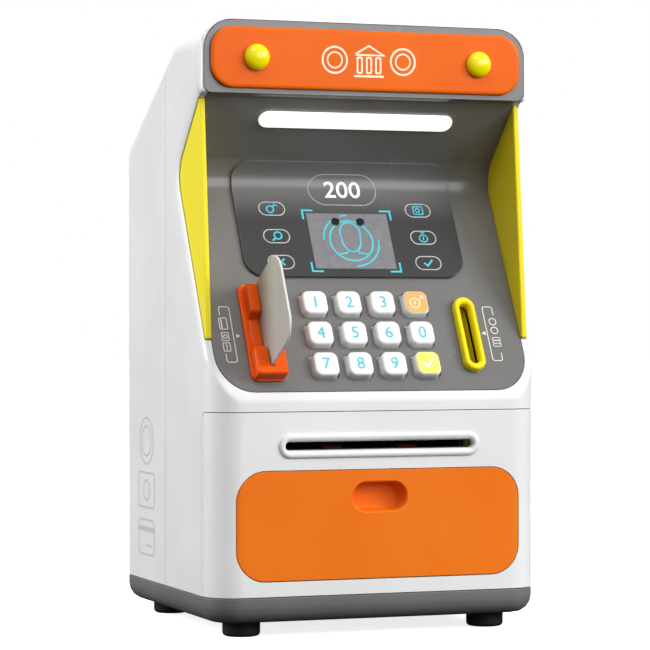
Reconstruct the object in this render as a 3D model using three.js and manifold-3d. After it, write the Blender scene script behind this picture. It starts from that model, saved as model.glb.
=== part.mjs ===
// Toy cash machine savings bank, in millimetres, +Z up, front towards -Y.
// A white two-part shell holds a tilted dark face plate with keys, a screen, a card reader and a
// coin slot. Below it are a motor-fed note slot and a pull-out cash drawer with a lock.

import * as THREE from "three";
import { mergeVertices } from "three/addons/utils/BufferGeometryUtils.js";
import Module from "manifold-3d";

const wasm = await Module();
wasm.setup();

// ---------------------------------------------------------------- driving sizes

const bodyWidth = 140;
const bodyDepth = 120;
const bodyHeight = 245;
const shellWall = 2.2;
const gap = 0.3; // between pieces that touch on the real toy
const past = 1; // how far a cutter runs past the solid it cuts

// Side outline of the body
const deckTilt = THREE.MathUtils.degToRad(28.15); // keypad deck, measured from vertical
const deckFootZ = 93.9; // height at which the deck plane would meet the front
const deckFootRadius = 8;
const deckBendRadius = 12.6;
const hoodLipDrop = 31.4; // hood lip below the top
const hoodLipSetback = 18.3;
const hoodLipRadius = 6;
const hoodFrontSetback = 14.4;
const hoodEdgeRadius = 1.5;
const hoodTopRadius = 4;
const backSlopeDrop = 40.8; // start of the sloping back, below the top
const backSlope = THREE.MathUtils.degToRad(31);
const backSlopeRadius = 12;
const crownRadius = 25;
const frontCornerRadius = 13;
const rearCornerRadius = 8;
const topCornerRadius = 14;
const smallestRadius = 0.5;
const rimRoundWidth = 1.3;
const rimRoundDepth = 5.2;
const shellSeamSetback = 12.5; // seam between the front and rear shells, behind the bend

// Base and feet
const footHeight = 6;
const footRadius = 7.5;
const footEdgeRadius = 1.6;
const footInsetX = 17.7;
const frontFootInset = 17;
const rearFootInset = 10.5;
const baseHeight = 10.2;
const baseWall = 2;
const baseEdgeRadius = 7;
const railWidth = 6;
const railInset = 26; // drawer rail, from the side of the body
const railFrontSetback = 12;
const railSink = 1; // rail foot into the base's floor

// Face plate, wings and banner
const plateThickness = 2.2;
const plateBackWall = 1.7; // shell ledge behind the plate
const plateFootZ = 96.5;
const plateFootRadius = 15;
const bezelSideInset = 1.5;
const bezelTopInset = 2.3;
const bezelRadius = 12;
const bezelFootRadius = 3;
const wingThickness = 2.3;
const wingSkin = 1.0; // shell left outside a wing
const wingSeat = 3.5; // wing edge hidden behind the plate surface
const wingFootZ = 117;
const wingTopDrop = 32.7;
const wingFootSetback = 11;
const wingTopSetback = 20;
const bannerInset = 4;
const bannerThickness = 1.7;
const bannerHeight = 24.2;
const bannerTopInset = 5;
const bannerRadius = 9;
const lampRadius = 5.25;
const lampHeight = 3;
const lampRimHeight = 0.5;
const lampSpacing = 95;
const lightBarLength = 83.4;
const lightBarWidth = 8;
const lightBarThickness = 1.2;
const lightBarSetback = 26.8;

// Screen
const screenWidth = 95;
const screenFootZ = 141.3;
const screenRise = 4.9; // top edge above the corner of the bend
const screenThickness = 1;
const screenRadius = 8.5;
const sensorRadius = 1.8;
const sensorThickness = 0.5;
const sensorSpacing = 10.8;
const sensorZ = 164.5;

// Keypad, measured along the deck from its centre
const deckCentreZ = 119;
const keypadCentreX = 0.3;
const keypadCentreS = -1.25;
const keySize = 11.4;
const keySpaceX = 3.05; // between keys, across the deck
const keySpaceS = 2.35; // and along it
const keyRadius = 3;
const keyHeight = 4.2;
const keyBevel = 0.9;
const keySlotGap = 0.4;
const keyTravel = 1.4;
const keyFlange = 0.9; // flange overhang behind the plate
const keyFlangeThickness = 1;
const windowSideInset = 9; // keypad opening in the shell, inside the plate's edge
const windowFootGap = 0.6;
const windowTopS = 58;
const windowRadius = 4;
const matThickness = 1.5;
const boardThickness = 1.6;
const boardGap = 0.4;
const boardSideMargin = 4;
const boardEndMargin = 1;
const boardRadius = 1.5;

// Card reader and card
const readerX = -45.3;
const readerWidth = 14.4;
const readerLength = 42.8;
const readerFlange = 1.2;
const readerBlockWidth = 10.4;
const readerBlockLength = 38.6;
const readerBlockHeight = 6.8;
const readerSaddleCentre = -0.6;
const readerSaddleLength = 11.6;
const readerSaddleFloor = 2.2;
const readerUpperSlope = 1.5; // length of the saddle's steep and gentle ends
const readerLowerSlope = 3;
const readerCornerRadius = 3;
const readerEdgeRadius = 1;
const cardThickness = 1;
const cardLength = 37.6; // along the deck
const cardCentreS = 1.4;
const cardReach = 33.8; // standing out of the deck
const cardDepth = 14; // hidden in the reader
const cardRadius = 9;
const cardSlotGap = 0.4;
const cardHiddenRadius = 2;
const plateSlotExtra = 0.2; // plate's card slot around the reader's own
const cardSlotRadius = 0.5;

// Coin slot and chute
const coinX = 43;
const coinCentreS = -1.3;
const coinSlotWidth = 4.3;
const coinSlotLength = 27;
const coinRingWidth = 2.4;
const coinRingRise = 3;
const coinRingHeight = 3.4;
const coinRingBevel = 0.8;
const chuteWall = 1.2;
const chuteBottomZ = 66.5;
const chuteBackSetback = 36.5;

// Lower front, note slot and drawer
const lowerFrontTopZ = 88.4;
const lowerFrontDepth = 12.4;
const lowerFrontRadius = 3;
const noteSlotZ = 75.1;
const noteSlotWidth = 79.6;
const noteSlotHeight = 3.3;
const noteRingWidth = 2.6;
const noteRingRise = 3.12; // ring above and below the slot
const noteRingHeight = 1.2;
const drawerSideInset = 10.2; // drawer front, from the side of the body
const drawerBottomZ = 22.5;
const drawerTopZ = 65.4;
const drawerRadius = 12;
const trayPostGap = 0.6; // between the drawer tray and the screw posts
const trayFloorZ = 25;
const trayTopZ = 60;
const trayWall = 2;
const trayBack = 85; // tray length behind the front
const scoopWidth = 22.5;
const scoopHeight = 11.2;
const scoopTopDrop = 10.7;
const scoopDepth = 7.5;
const scoopWall = 1.8;

// Note feed
const guideTopZ = 73.7;
const guideThickness = 1.4;
const guideLeftX = -47;
const guideRightX = 38.8;
const guideBackSetback = 32.5;
const bracketThickness = 1.5;
const bracketFrontSetback = 8;
const bracketBottomZ = 65;
const bracketTopZ = 84.5;
const feedSetback = 14;
const feedRollerRadius = 5.2;
const feedRollerWidth = 8;
const feedRollerSpacing = 32;
const feedShaftRadius = 1.5;
const pinchRadius = 4.8;
const pinchShaftRadius = 1.2;
const nip = 0.7; // between the feed and pinch rollers
const bearingGap = 0.3;
const gearModule = 0.7;
const gearTeeth = 24;
const pinionTeeth = 8;
const gearWidth = 3;
const toothTip = 0.75; // tip above and root below the pitch circle, in modules
const toothRoot = 1.15;
const toothTipShare = 0.1; // half widths at tip and root, in tooth pitches
const toothRootShare = 0.24;
const gearClearance = 0.5; // between the wheels and the note guide
const pinionShaftRadius = 1;
const gearX = -42.5;
const gearLean = THREE.MathUtils.degToRad(17); // pinion's place around the gear, above level
const motorRadius = 7.5;
const motorLength = 17;
const feedWindowGap = 1; // around each roller in the note guide

// Lock
const frameTopZ = 64.8;
const frameThickness = 1.8;
const frameWall = 2;
const frameWallDrop = 0.5;
const frameWidth = 100;
const frameFront = 52; // rear frame, from the back of the body
const frameWallFront = 32;
const frameBack = 5;
const boltWidth = 8;
const boltDepth = 5;
const boltLength = 16;
const boltLift = 2; // above the tray
const boltTrayGap = 0.5; // behind it, the tray's back wall
const solenoidWidth = 20;
const solenoidDepth = 16;
const solenoidHeight = 18;

// Power, sound and fasteners
const batteryRadius = 7.1;
const batteryLength = 50.5;
const batteryPitch = 16.3;
const batteryCount = 3;
const batteryTipRadius = 2.7;
const batteryTipLength = 1.2;
const batteryCoverGap = 1.3;
const batteryBoxZ = 98.5;
const batteryBoxWidth = 56;
const batteryBoxHeight = 51;
const batteryBoxDepth = 19;
const batteryBoxWall = 1.5;
const coverThickness = 2;
const coverRadius = 0.5;
const speakerRadius = 18;
const speakerThickness = 5;
const speakerRim = 2;
const speakerMagnetRadius = 10.8;
const speakerZ = 150;
const grilleSlots = 5;
const grillePitch = 5;
const grilleSlotHeight = 2.2;
const grilleSlotLength = 24;
const switchX = 36;
const switchZ = 48;
const switchTravel = 6;
const switchNubWidth = 5;
const switchNubHeight = 4.2;
const switchSink = 0.6;
const switchPlateMargin = 3; // slider plate past the nub, sideways
const switchPlateRise = 1.5; // and up and down
const switchPlateDepth = 2.5;
const screwInsetX = 11;
const screwLowZ = 35;
const screwHighZ = 160;
const postRadius = 4.6;
const postRibHalf = 1;
const postBoreStop = 1.5; // closed end of a front post
const screwHeadRadius = 2.8;
const screwHeadHeight = 2;
const screwHeadClearance = 0.4;
const screwShankRadius = 1.4;
const screwShankLength = 15;
const postFloor = 3;

// ---------------------------------------------------------------- worked-out places

const right = bodyWidth / 2;
const keyPitchX = keySize + keySpaceX;
const keyPitchS = keySize + keySpaceS;
const front = -bodyDepth / 2;
const back = bodyDepth / 2;
const baseBottomZ = footHeight;
const baseTopZ = baseBottomZ + baseHeight;
const shellBottomZ = baseTopZ + gap;
const hoodFront = front + hoodFrontSetback;
const hoodLipZ = bodyHeight - hoodLipDrop;
const lipCorner = new THREE.Vector2(front + hoodLipSetback, hoodLipZ);
const backSlopeZ = bodyHeight - backSlopeDrop;
const crownY = back - backSlopeDrop / Math.tan(backSlope);

// The deck plane rises from the front; the hood's underside falls back from its lip at 45 degrees.
const deckSlope = Math.tan(deckTilt);
const bendY = (lipCorner.x + lipCorner.y - deckFootZ + front / deckSlope) / (1 + 1 / deckSlope);
const bendCorner = new THREE.Vector2(bendY, lipCorner.x + lipCorner.y - bendY);
const shellSeamY = bendY + shellSeamSetback;

const deckY = front + (deckCentreZ - deckFootZ) * deckSlope;
const deckMatrix = new THREE.Matrix4()
  .makeTranslation(0, deckY, deckCentreZ)
  .multiply(new THREE.Matrix4().makeRotationX(Math.PI / 2 - deckTilt));

const plateHalf = right - wingSkin - gap - wingThickness - gap;
const bezelHalf = right - bezelSideInset;
const bezelBottomZ = hoodLipZ + gap;
const bezelTopZ = bodyHeight - bezelTopInset;
const drawerHalf = right - drawerSideInset;
const trayHalf = right - screwInsetX - postRadius - trayPostGap;
const innerFront = front + shellWall;
const innerBack = back - shellWall;

const colours = {
  white: 0xe8e8e8,
  orange: 0xef7410,
  readerOrange: 0xe05000,
  yellow: 0xf5e61e,
  darkGrey: 0x4c4b4c,
  plateGrey: 0x7a7a7a,
  baseGrey: 0x5a5858,
  black: 0x1c1c1c,
  glow: 0xfdfdf6,
  keyCream: 0xefc07a,
  keyYellow: 0xf4f58a,
  circuit: 0x2f6b3a,
  steel: 0xb9bcc0,
  clearGrey: 0xc9cccf,
};

// ---------------------------------------------------------------- solids

function solid(geometry) {
  const bare = geometry.clone();
  bare.deleteAttribute("normal");
  bare.deleteAttribute("uv");
  const merged = mergeVertices(bare, 1e-4);
  return new wasm.Manifold(new wasm.Mesh({
    numProp: 3,
    vertProperties: new Float32Array(merged.attributes.position.array),
    triVerts: new Uint32Array(merged.index.array),
  }));
}

function toGeometry(body) {
  const mesh = body.getMesh();
  const geometry = new THREE.BufferGeometry();
  geometry.setAttribute("position", new THREE.BufferAttribute(mesh.vertProperties, 3));
  geometry.setIndex(new THREE.BufferAttribute(mesh.triVerts, 1));
  geometry.computeVertexNormals();
  return geometry;
}

function join(...bodies) {
  return bodies.reduce((sum, body) => sum.add(body));
}

function cut(body, ...tools) {
  return tools.reduce((rest, tool) => rest.subtract(tool), body);
}

function common(...bodies) {
  return bodies.reduce((shared, body) => shared.intersect(body));
}

function extrude(shape, depth, options = {}) {
  return new THREE.ExtrudeGeometry(shape, { depth, bevelEnabled: false, curveSegments: 5, ...options });
}

// Turns a drawing's x and y into Y and Z, and its depth into X.
const drawingToSide = new THREE.Matrix4().makeBasis(
  new THREE.Vector3(0, 1, 0), new THREE.Vector3(0, 0, 1), new THREE.Vector3(1, 0, 0));

function alongX(shape, x0, x1) {
  return solid(extrude(shape, x1 - x0).applyMatrix4(drawingToSide).translate(x0, 0, 0));
}

function alongY(shape, y0, y1, options = {}) {
  return solid(extrude(shape, y1 - y0, options).rotateX(Math.PI / 2).translate(0, y1, 0));
}

function alongZ(shape, z0, z1, options = {}) {
  return solid(extrude(shape, z1 - z0, options).translate(0, 0, z0));
}

// A prism that stands on the deck, from height h0 to h1 above its surface.
function onDeck(shape, h0, h1, options = {}) {
  return solid(extrude(shape, h1 - h0, options).translate(0, 0, h0).applyMatrix4(deckMatrix));
}

// A prism across the deck, from x0 to x1. Its outline is drawn along the deck and out from it.
function acrossDeck(shape, x0, x1) {
  const geometry = extrude(shape, x1 - x0, { curveSegments: 4 }).applyMatrix4(drawingToSide);
  return solid(geometry.translate(x0, 0, 0).applyMatrix4(deckMatrix));
}

function block(x0, x1, y0, y1, z0, z1) {
  const geometry = new THREE.BoxGeometry(x1 - x0, y1 - y0, z1 - z0);
  return solid(geometry.translate((x0 + x1) / 2, (y0 + y1) / 2, (z0 + z1) / 2));
}

function rodX(radius, x0, x1, y, z, sides = 16) {
  const geometry = new THREE.CylinderGeometry(radius, radius, x1 - x0, sides);
  return solid(geometry.rotateZ(Math.PI / 2).translate((x0 + x1) / 2, y, z));
}

function rodY(radius, x, y0, y1, z, sides = 14) {
  const geometry = new THREE.CylinderGeometry(radius, radius, y1 - y0, sides);
  return solid(geometry.translate(x, (y0 + y1) / 2, z));
}

// ---------------------------------------------------------------- outlines

// Closed outline from sharp corners, each with its own fillet radius.
function filleted(corners) {
  const shape = new THREE.Shape();
  corners.forEach((corner, index) => {
    const before = corners.at(index - 1);
    const after = corners[(index + 1) % corners.length];
    const toBefore = before.point.clone().sub(corner.point).normalize();
    const toAfter = after.point.clone().sub(corner.point).normalize();
    const halfAngle = Math.acos(THREE.MathUtils.clamp(toBefore.dot(toAfter), -1, 1)) / 2;
    const reach = corner.radius / Math.tan(halfAngle);
    const start = corner.point.clone().addScaledVector(toBefore, reach);
    const end = corner.point.clone().addScaledVector(toAfter, reach);
    if (index === 0) shape.moveTo(start.x, start.y);
    else shape.lineTo(start.x, start.y);
    if (corner.radius > 0) {
      const bisector = toBefore.add(toAfter).normalize();
      const centre = corner.point.clone().addScaledVector(bisector, corner.radius / Math.sin(halfAngle));
      const from = start.clone().sub(centre);
      const to = end.clone().sub(centre);
      shape.absarc(centre.x, centre.y, corner.radius, from.angle(), to.angle(), from.cross(to) < 0);
    }
  });
  return shape;
}

function corner(x, y, radius = 0) {
  return { point: new THREE.Vector2(x, y), radius };
}

// Anticlockwise corners moved inwards, each edge by its own distance; fillets follow.
function inset(corners, distances) {
  const edges = corners.map((here, index) => {
    const next = corners[(index + 1) % corners.length];
    const along = next.point.clone().sub(here.point).normalize();
    const inward = new THREE.Vector2(-along.y, along.x);
    const point = here.point.clone().addScaledVector(inward, distances[index]);
    return { point, along };
  });
  return corners.map((here, index) => {
    const before = edges.at(index - 1);
    const after = edges[index];
    const turn = before.along.cross(after.along);
    const step = after.point.clone().sub(before.point).cross(after.along) / turn;
    const point = before.point.clone().addScaledVector(before.along, step);
    const moved = (distances.at(index - 1) + distances[index]) / 2;
    const radius = here.radius > 0 ? Math.max(here.radius - Math.sign(turn) * moved, 0) : 0;
    return { point, radius };
  });
}

function roundedRect(centreX, centreY, width, height, radius) {
  const halfWidth = width / 2;
  const halfHeight = height / 2;
  return filleted([
    corner(centreX - halfWidth, centreY - halfHeight, radius),
    corner(centreX + halfWidth, centreY - halfHeight, radius),
    corner(centreX + halfWidth, centreY + halfHeight, radius),
    corner(centreX - halfWidth, centreY + halfHeight, radius),
  ]);
}

function stadium(centreX, centreY, width, height) {
  return roundedRect(centreX, centreY, width, height, Math.min(width, height) / 2 - 0.01);
}

// Body outline seen from the side, as (y, z) corners.
const sideCorners = [
  corner(front, shellBottomZ),
  corner(back, shellBottomZ),
  corner(back, backSlopeZ, backSlopeRadius),
  corner(crownY, bodyHeight, crownRadius),
  corner(hoodFront, bodyHeight, hoodTopRadius),
  corner(hoodFront, hoodLipZ, hoodEdgeRadius),
  corner(lipCorner.x, lipCorner.y, hoodLipRadius),
  corner(bendCorner.x, bendCorner.y, deckBendRadius),
  corner(front, deckFootZ, deckFootRadius),
];

// Insets for the nine edges of that outline: bottom, back, slope, top, hood front, lip, hood
// underside, deck and front.
function edgeInsets(bottom, shell, face) {
  return [bottom, shell, shell, shell, face, face, face, face, shell];
}

function faceBand(outer, inner) {
  const outerShape = filleted(inset(sideCorners, edgeInsets(0, 0, outer)));
  const innerShape = filleted(inset(sideCorners, edgeInsets(-1, -1, inner)));
  return { outerShape, innerShape };
}

function planShape(side) {
  const frontRadius = Math.max(frontCornerRadius - side, smallestRadius);
  const rearRadius = Math.max(rearCornerRadius - side, smallestRadius);
  return filleted([
    corner(-right + side, front + side, frontRadius),
    corner(right - side, front + side, frontRadius),
    corner(right - side, back - side, rearRadius),
    corner(-right + side, back - side, rearRadius),
  ]);
}

function frontShape(side, bottom) {
  return filleted([
    corner(-right + side, bottom),
    corner(right - side, bottom),
    corner(right - side, bodyHeight - side, topCornerRadius - side),
    corner(-right + side, bodyHeight - side, topCornerRadius - side),
  ]);
}

// The body's full block, moved inwards by a wall on the shell sides and another on the face.
function bodyBlock(shell, face, bottom) {
  const bottomZ = shellBottomZ + bottom;
  return common(
    alongX(filleted(inset(sideCorners, edgeInsets(bottom, shell, face))), -right, right),
    alongZ(planShape(shell), bottomZ - 1, bodyHeight + 1, { curveSegments: 6 }),
    alongY(frontShape(shell, bottomZ - 1), front - 1, back + 1, { curveSegments: 6 }),
  );
}

// ---------------------------------------------------------------- rim rounding

// Sliver outside a quarter ellipse, for rounding a square edge at the origin.
function edgeSliver(side) {
  const margin = 1;
  const shape = new THREE.Shape();
  shape.moveTo(-side * margin, margin);
  shape.lineTo(-side * margin, -rimRoundDepth);
  shape.lineTo(0, -rimRoundDepth);
  shape.absellipse(side * rimRoundWidth, -rimRoundDepth, rimRoundWidth, rimRoundDepth,
    side > 0 ? Math.PI : 0, Math.PI / 2, side > 0);
  shape.lineTo(side * rimRoundWidth, margin);
  shape.closePath();
  return shape;
}

function rimCutter(side) {
  const path = filleted([
    corner(front, deckFootZ),
    corner(bendCorner.x, bendCorner.y, deckBendRadius),
    corner(lipCorner.x, lipCorner.y),
    corner(back, hoodLipZ),
  ]).getPoints(10).slice(0, -2);
  const spine = new THREE.CatmullRomCurve3(path.map((p) => new THREE.Vector3(side * right, p.x, p.y)));
  const swept = extrude(edgeSliver(side), 1, { extrudePath: spine, steps: 20, curveSegments: 3 });
  return solid(swept);
}

function hoodSideCutter(side) {
  const shape = edgeSliver(-side);
  const upright = solid(extrude(shape, bodyHeight - hoodLipZ + 2, { curveSegments: 3 })
    .rotateX(Math.PI)
    .translate(side * right, hoodFront, bodyHeight + 1));
  return upright;
}

// ---------------------------------------------------------------- shells

const plateSeat = plateThickness + gap;
const faceWall = plateSeat + plateBackWall;

function shellSkin() {
  const skin = cut(bodyBlock(0, 0, 0), bodyBlock(shellWall, faceWall, -5));
  return cut(skin, rimCutter(1), rimCutter(-1));
}

function postX(side) {
  return side * (right - screwInsetX);
}

function screwPlaces() {
  return [
    { name: "low_left", side: -1, z: screwLowZ },
    { name: "low_right", side: 1, z: screwLowZ },
    { name: "high_left", side: -1, z: screwHighZ },
    { name: "high_right", side: 1, z: screwHighZ },
  ];
}

const rearPostFront = shellSeamY + gap / 2;
const frontPostBack = shellSeamY - gap / 2;
const postHoleRadius = screwHeadRadius + screwHeadClearance;
const shankHoleRadius = screwShankRadius + gap;

// A screw post's solid body, with a rib that ties it to the side wall.
function postBody({ side, z }, y0, y1) {
  const ribStart = postX(side);
  const ribEnd = side * (right - shellWall / 2);
  const rib = block(Math.min(ribStart, ribEnd), Math.max(ribStart, ribEnd), y0, y1,
    z - postRibHalf, z + postRibHalf);
  return join(rodY(postRadius, postX(side), y0, y1, z), rib);
}

function rearShell() {
  const rearHalf = block(-right - past, right + past, rearPostFront, back + past, 0, bodyHeight + past);
  let shell = common(shellSkin(), rearHalf);
  const boxHalf = batteryBoxWidth / 2;
  const boxLowZ = batteryBoxZ - batteryBoxHeight / 2;
  const boxHighZ = batteryBoxZ + batteryBoxHeight / 2;
  const boxFront = back - batteryBoxDepth;
  const boxOuter = block(-boxHalf - batteryBoxWall, boxHalf + batteryBoxWall,
    boxFront - batteryBoxWall, back - shellWall / 2, boxLowZ - batteryBoxWall, boxHighZ + batteryBoxWall);
  const boxInner = block(-boxHalf, boxHalf, boxFront, back + past, boxLowZ, boxHighZ);
  shell = cut(join(shell, boxOuter), boxInner);
  for (const place of screwPlaces()) {
    const x = postX(place.side);
    const post = postBody(place, rearPostFront, back - shellWall / 2);
    const floorY = rearPostFront + postFloor;
    const headHole = rodY(postHoleRadius, x, floorY, back + past, place.z);
    const shankHole = rodY(shankHoleRadius, x, rearPostFront - past, floorY + past, place.z, 12);
    shell = cut(join(shell, post), headHole, shankHole);
  }
  for (let slot = 0; slot < grilleSlots; slot += 1) {
    const z = speakerZ + (slot - (grilleSlots - 1) / 2) * grillePitch;
    const opening = stadium(0, z, grilleSlotLength, grilleSlotHeight);
    shell = cut(shell, alongY(opening, innerBack - 1, back + 1, { curveSegments: 3 }));
  }
  const slotWidth = switchNubWidth + switchTravel + 2 * gap;
  const switchSlot = block(switchX - gap, switchX - gap + slotWidth, innerBack - 1, back + 1,
    switchZ - switchNubHeight / 2 - gap, switchZ + switchNubHeight / 2 + gap);
  return cut(shell, switchSlot);
}

// The lower front's space: everything in front of its side seam and under its top seam.
function lowerFrontSpace(clearance) {
  const seamY = front + lowerFrontDepth + clearance;
  const topZ = lowerFrontTopZ + clearance;
  const shape = filleted([
    corner(front - 5, 0),
    corner(seamY, 0),
    corner(seamY, topZ, lowerFrontRadius),
    corner(front - 5, topZ),
  ]);
  return alongX(shape, -right - 1, right + 1);
}

// The dark plate's band along the deck, bend and hood underside, with its rounded foot.
function plateBand(clearance) {
  const { outerShape, innerShape } = faceBand(-clearance, plateThickness + clearance);
  const half = plateHalf + clearance;
  const band = cut(alongX(outerShape, -half, half), alongX(innerShape, -half - 1, half + 1));
  const footZ = plateFootZ - clearance;
  const window = alongY(filleted([
    corner(-half - 1, footZ, plateFootRadius),
    corner(half + 1, footZ, plateFootRadius),
    corner(half + 1, bezelBottomZ + plateThickness),
    corner(-half - 1, bezelBottomZ + plateThickness),
  ]), front - 2, shellSeamY);
  return common(band, window);
}

function bezelPlate(clearance) {
  const half = bezelHalf + clearance;
  const bottom = bezelBottomZ - clearance;
  const top = bezelTopZ + clearance;
  const shape = filleted([
    corner(-half, bottom, bezelFootRadius),
    corner(half, bottom, bezelFootRadius),
    corner(half, top, bezelRadius + clearance),
    corner(-half, top, bezelRadius + clearance),
  ]);
  return alongY(shape, hoodFront - 2 * clearance, hoodFront + plateThickness + clearance);
}

const wingOuter = right - wingSkin - gap;
const wingInner = wingOuter - wingThickness;
const wingTopZ = bodyHeight - wingTopDrop;

// A wing's outline: straight in front, following the plate's surface behind.
function wingSolid(side, clearance) {
  const x0 = wingInner - clearance;
  const x1 = wingOuter + clearance;
  const rear = filleted(inset(sideCorners, edgeInsets(-1, 1, wingSeat + clearance)));
  const span = [Math.min(side * x0, side * x1), Math.max(side * x0, side * x1)];
  const outlineShape = filleted([
    corner(front + wingFootSetback - clearance, wingFootZ - clearance),
    corner(bendCorner.x + wingSeat + 4, wingFootZ - clearance),
    corner(bendCorner.x + wingSeat + 4, wingTopZ + clearance),
    corner(front + wingTopSetback - clearance, wingTopZ + clearance),
  ]);
  return cut(alongX(outlineShape, ...span), alongX(rear, span[0] - 1, span[1] + 1));
}

function frontShell() {
  const frontHalf = block(-right - past, right + past, front - past, frontPostBack, 0,
    bodyHeight + past);
  let shell = common(shellSkin(), frontHalf);
  shell = cut(shell, lowerFrontSpace(gap), plateBand(gap), bezelPlate(gap));
  shell = cut(shell, hoodSideCutter(1), hoodSideCutter(-1));
  shell = cut(shell, wingSolid(1, gap), wingSolid(-1, gap));
  const windowHalf = plateHalf - windowSideInset;
  const windowFootS = keypadCentreS - keyPitchS - keySize / 2 - keyFlange - windowFootGap;
  const windowShape = filleted([
    corner(-windowHalf, windowFootS, windowRadius),
    corner(windowHalf, windowFootS, windowRadius),
    corner(windowHalf, windowTopS, windowRadius),
    corner(-windowHalf, windowTopS, windowRadius),
  ]);
  shell = cut(shell, onDeck(windowShape, -faceWall - 2, 3));
  for (const place of screwPlaces()) {
    const postFront = frontPostBack - screwShankLength;
    const hole = rodY(shankHoleRadius, postX(place.side), postFront + postBoreStop,
      frontPostBack + past, place.z, 12);
    shell = cut(join(shell, postBody(place, postFront, frontPostBack)), hole);
  }
  return shell;
}

// ---------------------------------------------------------------- face pieces

function keyPlaces() {
  const rows = [
    ["1", "2", "3", "coin"],
    ["4", "5", "6", "0"],
    ["7", "8", "9", "enter"],
  ];
  const places = [];
  rows.forEach((names, row) => {
    names.forEach((name, column) => {
      places.push({
        name,
        x: keypadCentreX + (column - 1.5) * keyPitchX,
        s: keypadCentreS + (1 - row) * keyPitchS,
      });
    });
  });
  return places;
}

function facePlate() {
  let plate = join(plateBand(0), bezelPlate(0));
  const keyHole = keySize + 2 * keySlotGap;
  for (const { x, s } of keyPlaces()) {
    const hole = roundedRect(x, s, keyHole, keyHole, keyRadius + keySlotGap);
    plate = cut(plate, onDeck(hole, -plateThickness - 2, 2, { curveSegments: 2 }));
  }
  const slotGap = cardSlotGap + plateSlotExtra;
  const cardSlot = roundedRect(readerX, cardCentreS, cardThickness + 2 * slotGap,
    cardLength + 2 * slotGap, cardSlotRadius);
  const coinSlot = stadium(coinX, coinCentreS, coinSlotWidth, coinSlotLength);
  return cut(plate, onDeck(cardSlot, -4, 2, { curveSegments: 2 }), onDeck(coinSlot, -4, 2));
}

function key(x, s) {
  const sideLength = keySize - 2 * keyBevel;
  const cap = onDeck(roundedRect(x, s, sideLength, sideLength, keyRadius - keyBevel),
    -plateThickness - gap - keyFlangeThickness + keyBevel, keyHeight - keyBevel, {
      bevelEnabled: true,
      bevelSize: keyBevel,
      bevelThickness: keyBevel,
      bevelSegments: 1,
      curveSegments: 2,
    });
  const flangeTop = -plateThickness - gap;
  const flangeSide = keySize + 2 * keyFlange;
  const flange = onDeck(roundedRect(x, s, flangeSide, flangeSide, keyRadius),
    flangeTop - keyFlangeThickness, flangeTop, { curveSegments: 2 });
  return join(cap, flange);
}

const matTop = -plateThickness - gap - keyFlangeThickness - keyTravel - gap;

function keypadMat() {
  const width = 3 * keyPitchX + keySize + 2 * keyFlange;
  const length = 2 * keyPitchS + keySize + 2 * keyFlange;
  const shape = roundedRect(keypadCentreX, keypadCentreS, width, length, keyRadius);
  return onDeck(shape, matTop - matThickness, matTop);
}

function circuitBoard() {
  const width = 3 * keyPitchX + keySize + 2 * boardSideMargin;
  const length = 2 * keyPitchS + keySize + 2 * boardEndMargin;
  const top = matTop - matThickness - boardGap;
  const shape = roundedRect(keypadCentreX, keypadCentreS, width, length, boardRadius);
  return onDeck(shape, top - boardThickness, top);
}

function screenWindow() {
  const { outerShape, innerShape } = faceBand(-gap - screenThickness, -gap);
  const half = screenWidth / 2;
  const band = cut(alongX(outerShape, -half, half), alongX(innerShape, -half - 1, half + 1));
  const topZ = bendCorner.y + screenRise;
  const height = topZ - screenFootZ;
  const view = roundedRect(0, (topZ + screenFootZ) / 2, screenWidth, height, screenRadius);
  return common(band, alongY(view, front - 2, bendCorner.x + 5));
}

function screenSensor(side) {
  const h0 = 2 * gap + screenThickness;
  const s = (sensorZ - deckCentreZ) / Math.cos(deckTilt);
  const disc = new THREE.Shape();
  disc.absarc(side * sensorSpacing / 2, s, sensorRadius, 0, 2 * Math.PI, false);
  return onDeck(disc, h0, h0 + sensorThickness);
}

function lightBar() {
  const centreY = front + lightBarSetback;
  const centreZ = lipCorner.x + lipCorner.y - centreY;
  const bar = extrude(stadium(0, 0, lightBarLength, lightBarWidth), lightBarThickness);
  bar.translate(0, 0, gap);
  bar.rotateX(Math.PI / 2 + Math.PI / 4);
  return solid(bar.translate(0, centreY, centreZ));
}

function banner() {
  const width = bodyWidth - 2 * bannerInset;
  const centreZ = bodyHeight - bannerTopInset - bannerHeight / 2;
  const bevel = bannerThickness / 2 - 0.1;
  const shape = roundedRect(0, centreZ, width - 2 * bevel, bannerHeight - 2 * bevel, bannerRadius - bevel);
  const back0 = hoodFront - gap;
  return alongY(shape, back0 - bannerThickness + bevel, back0 - bevel, {
    bevelEnabled: true,
    bevelSize: bevel,
    bevelThickness: bevel,
    bevelSegments: 2,
  });
}

function lamp(side) {
  const profile = [new THREE.Vector2(0, 0), new THREE.Vector2(lampRadius, 0)];
  const steps = 5;
  for (let step = 1; step <= steps; step += 1) {
    const angle = (Math.PI / 2) * (step / steps);
    const radius = step === steps ? 0 : lampRadius * Math.cos(angle);
    profile.push(new THREE.Vector2(radius, lampRimHeight + lampHeight * Math.sin(angle)));
  }
  const dome = new THREE.LatheGeometry(profile, 20).rotateX(Math.PI);
  const centreZ = bodyHeight - bannerTopInset - bannerHeight / 2;
  const base = hoodFront - 2 * gap - bannerThickness;
  return solid(dome.translate(side * lampSpacing / 2, base, centreZ));
}

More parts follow.
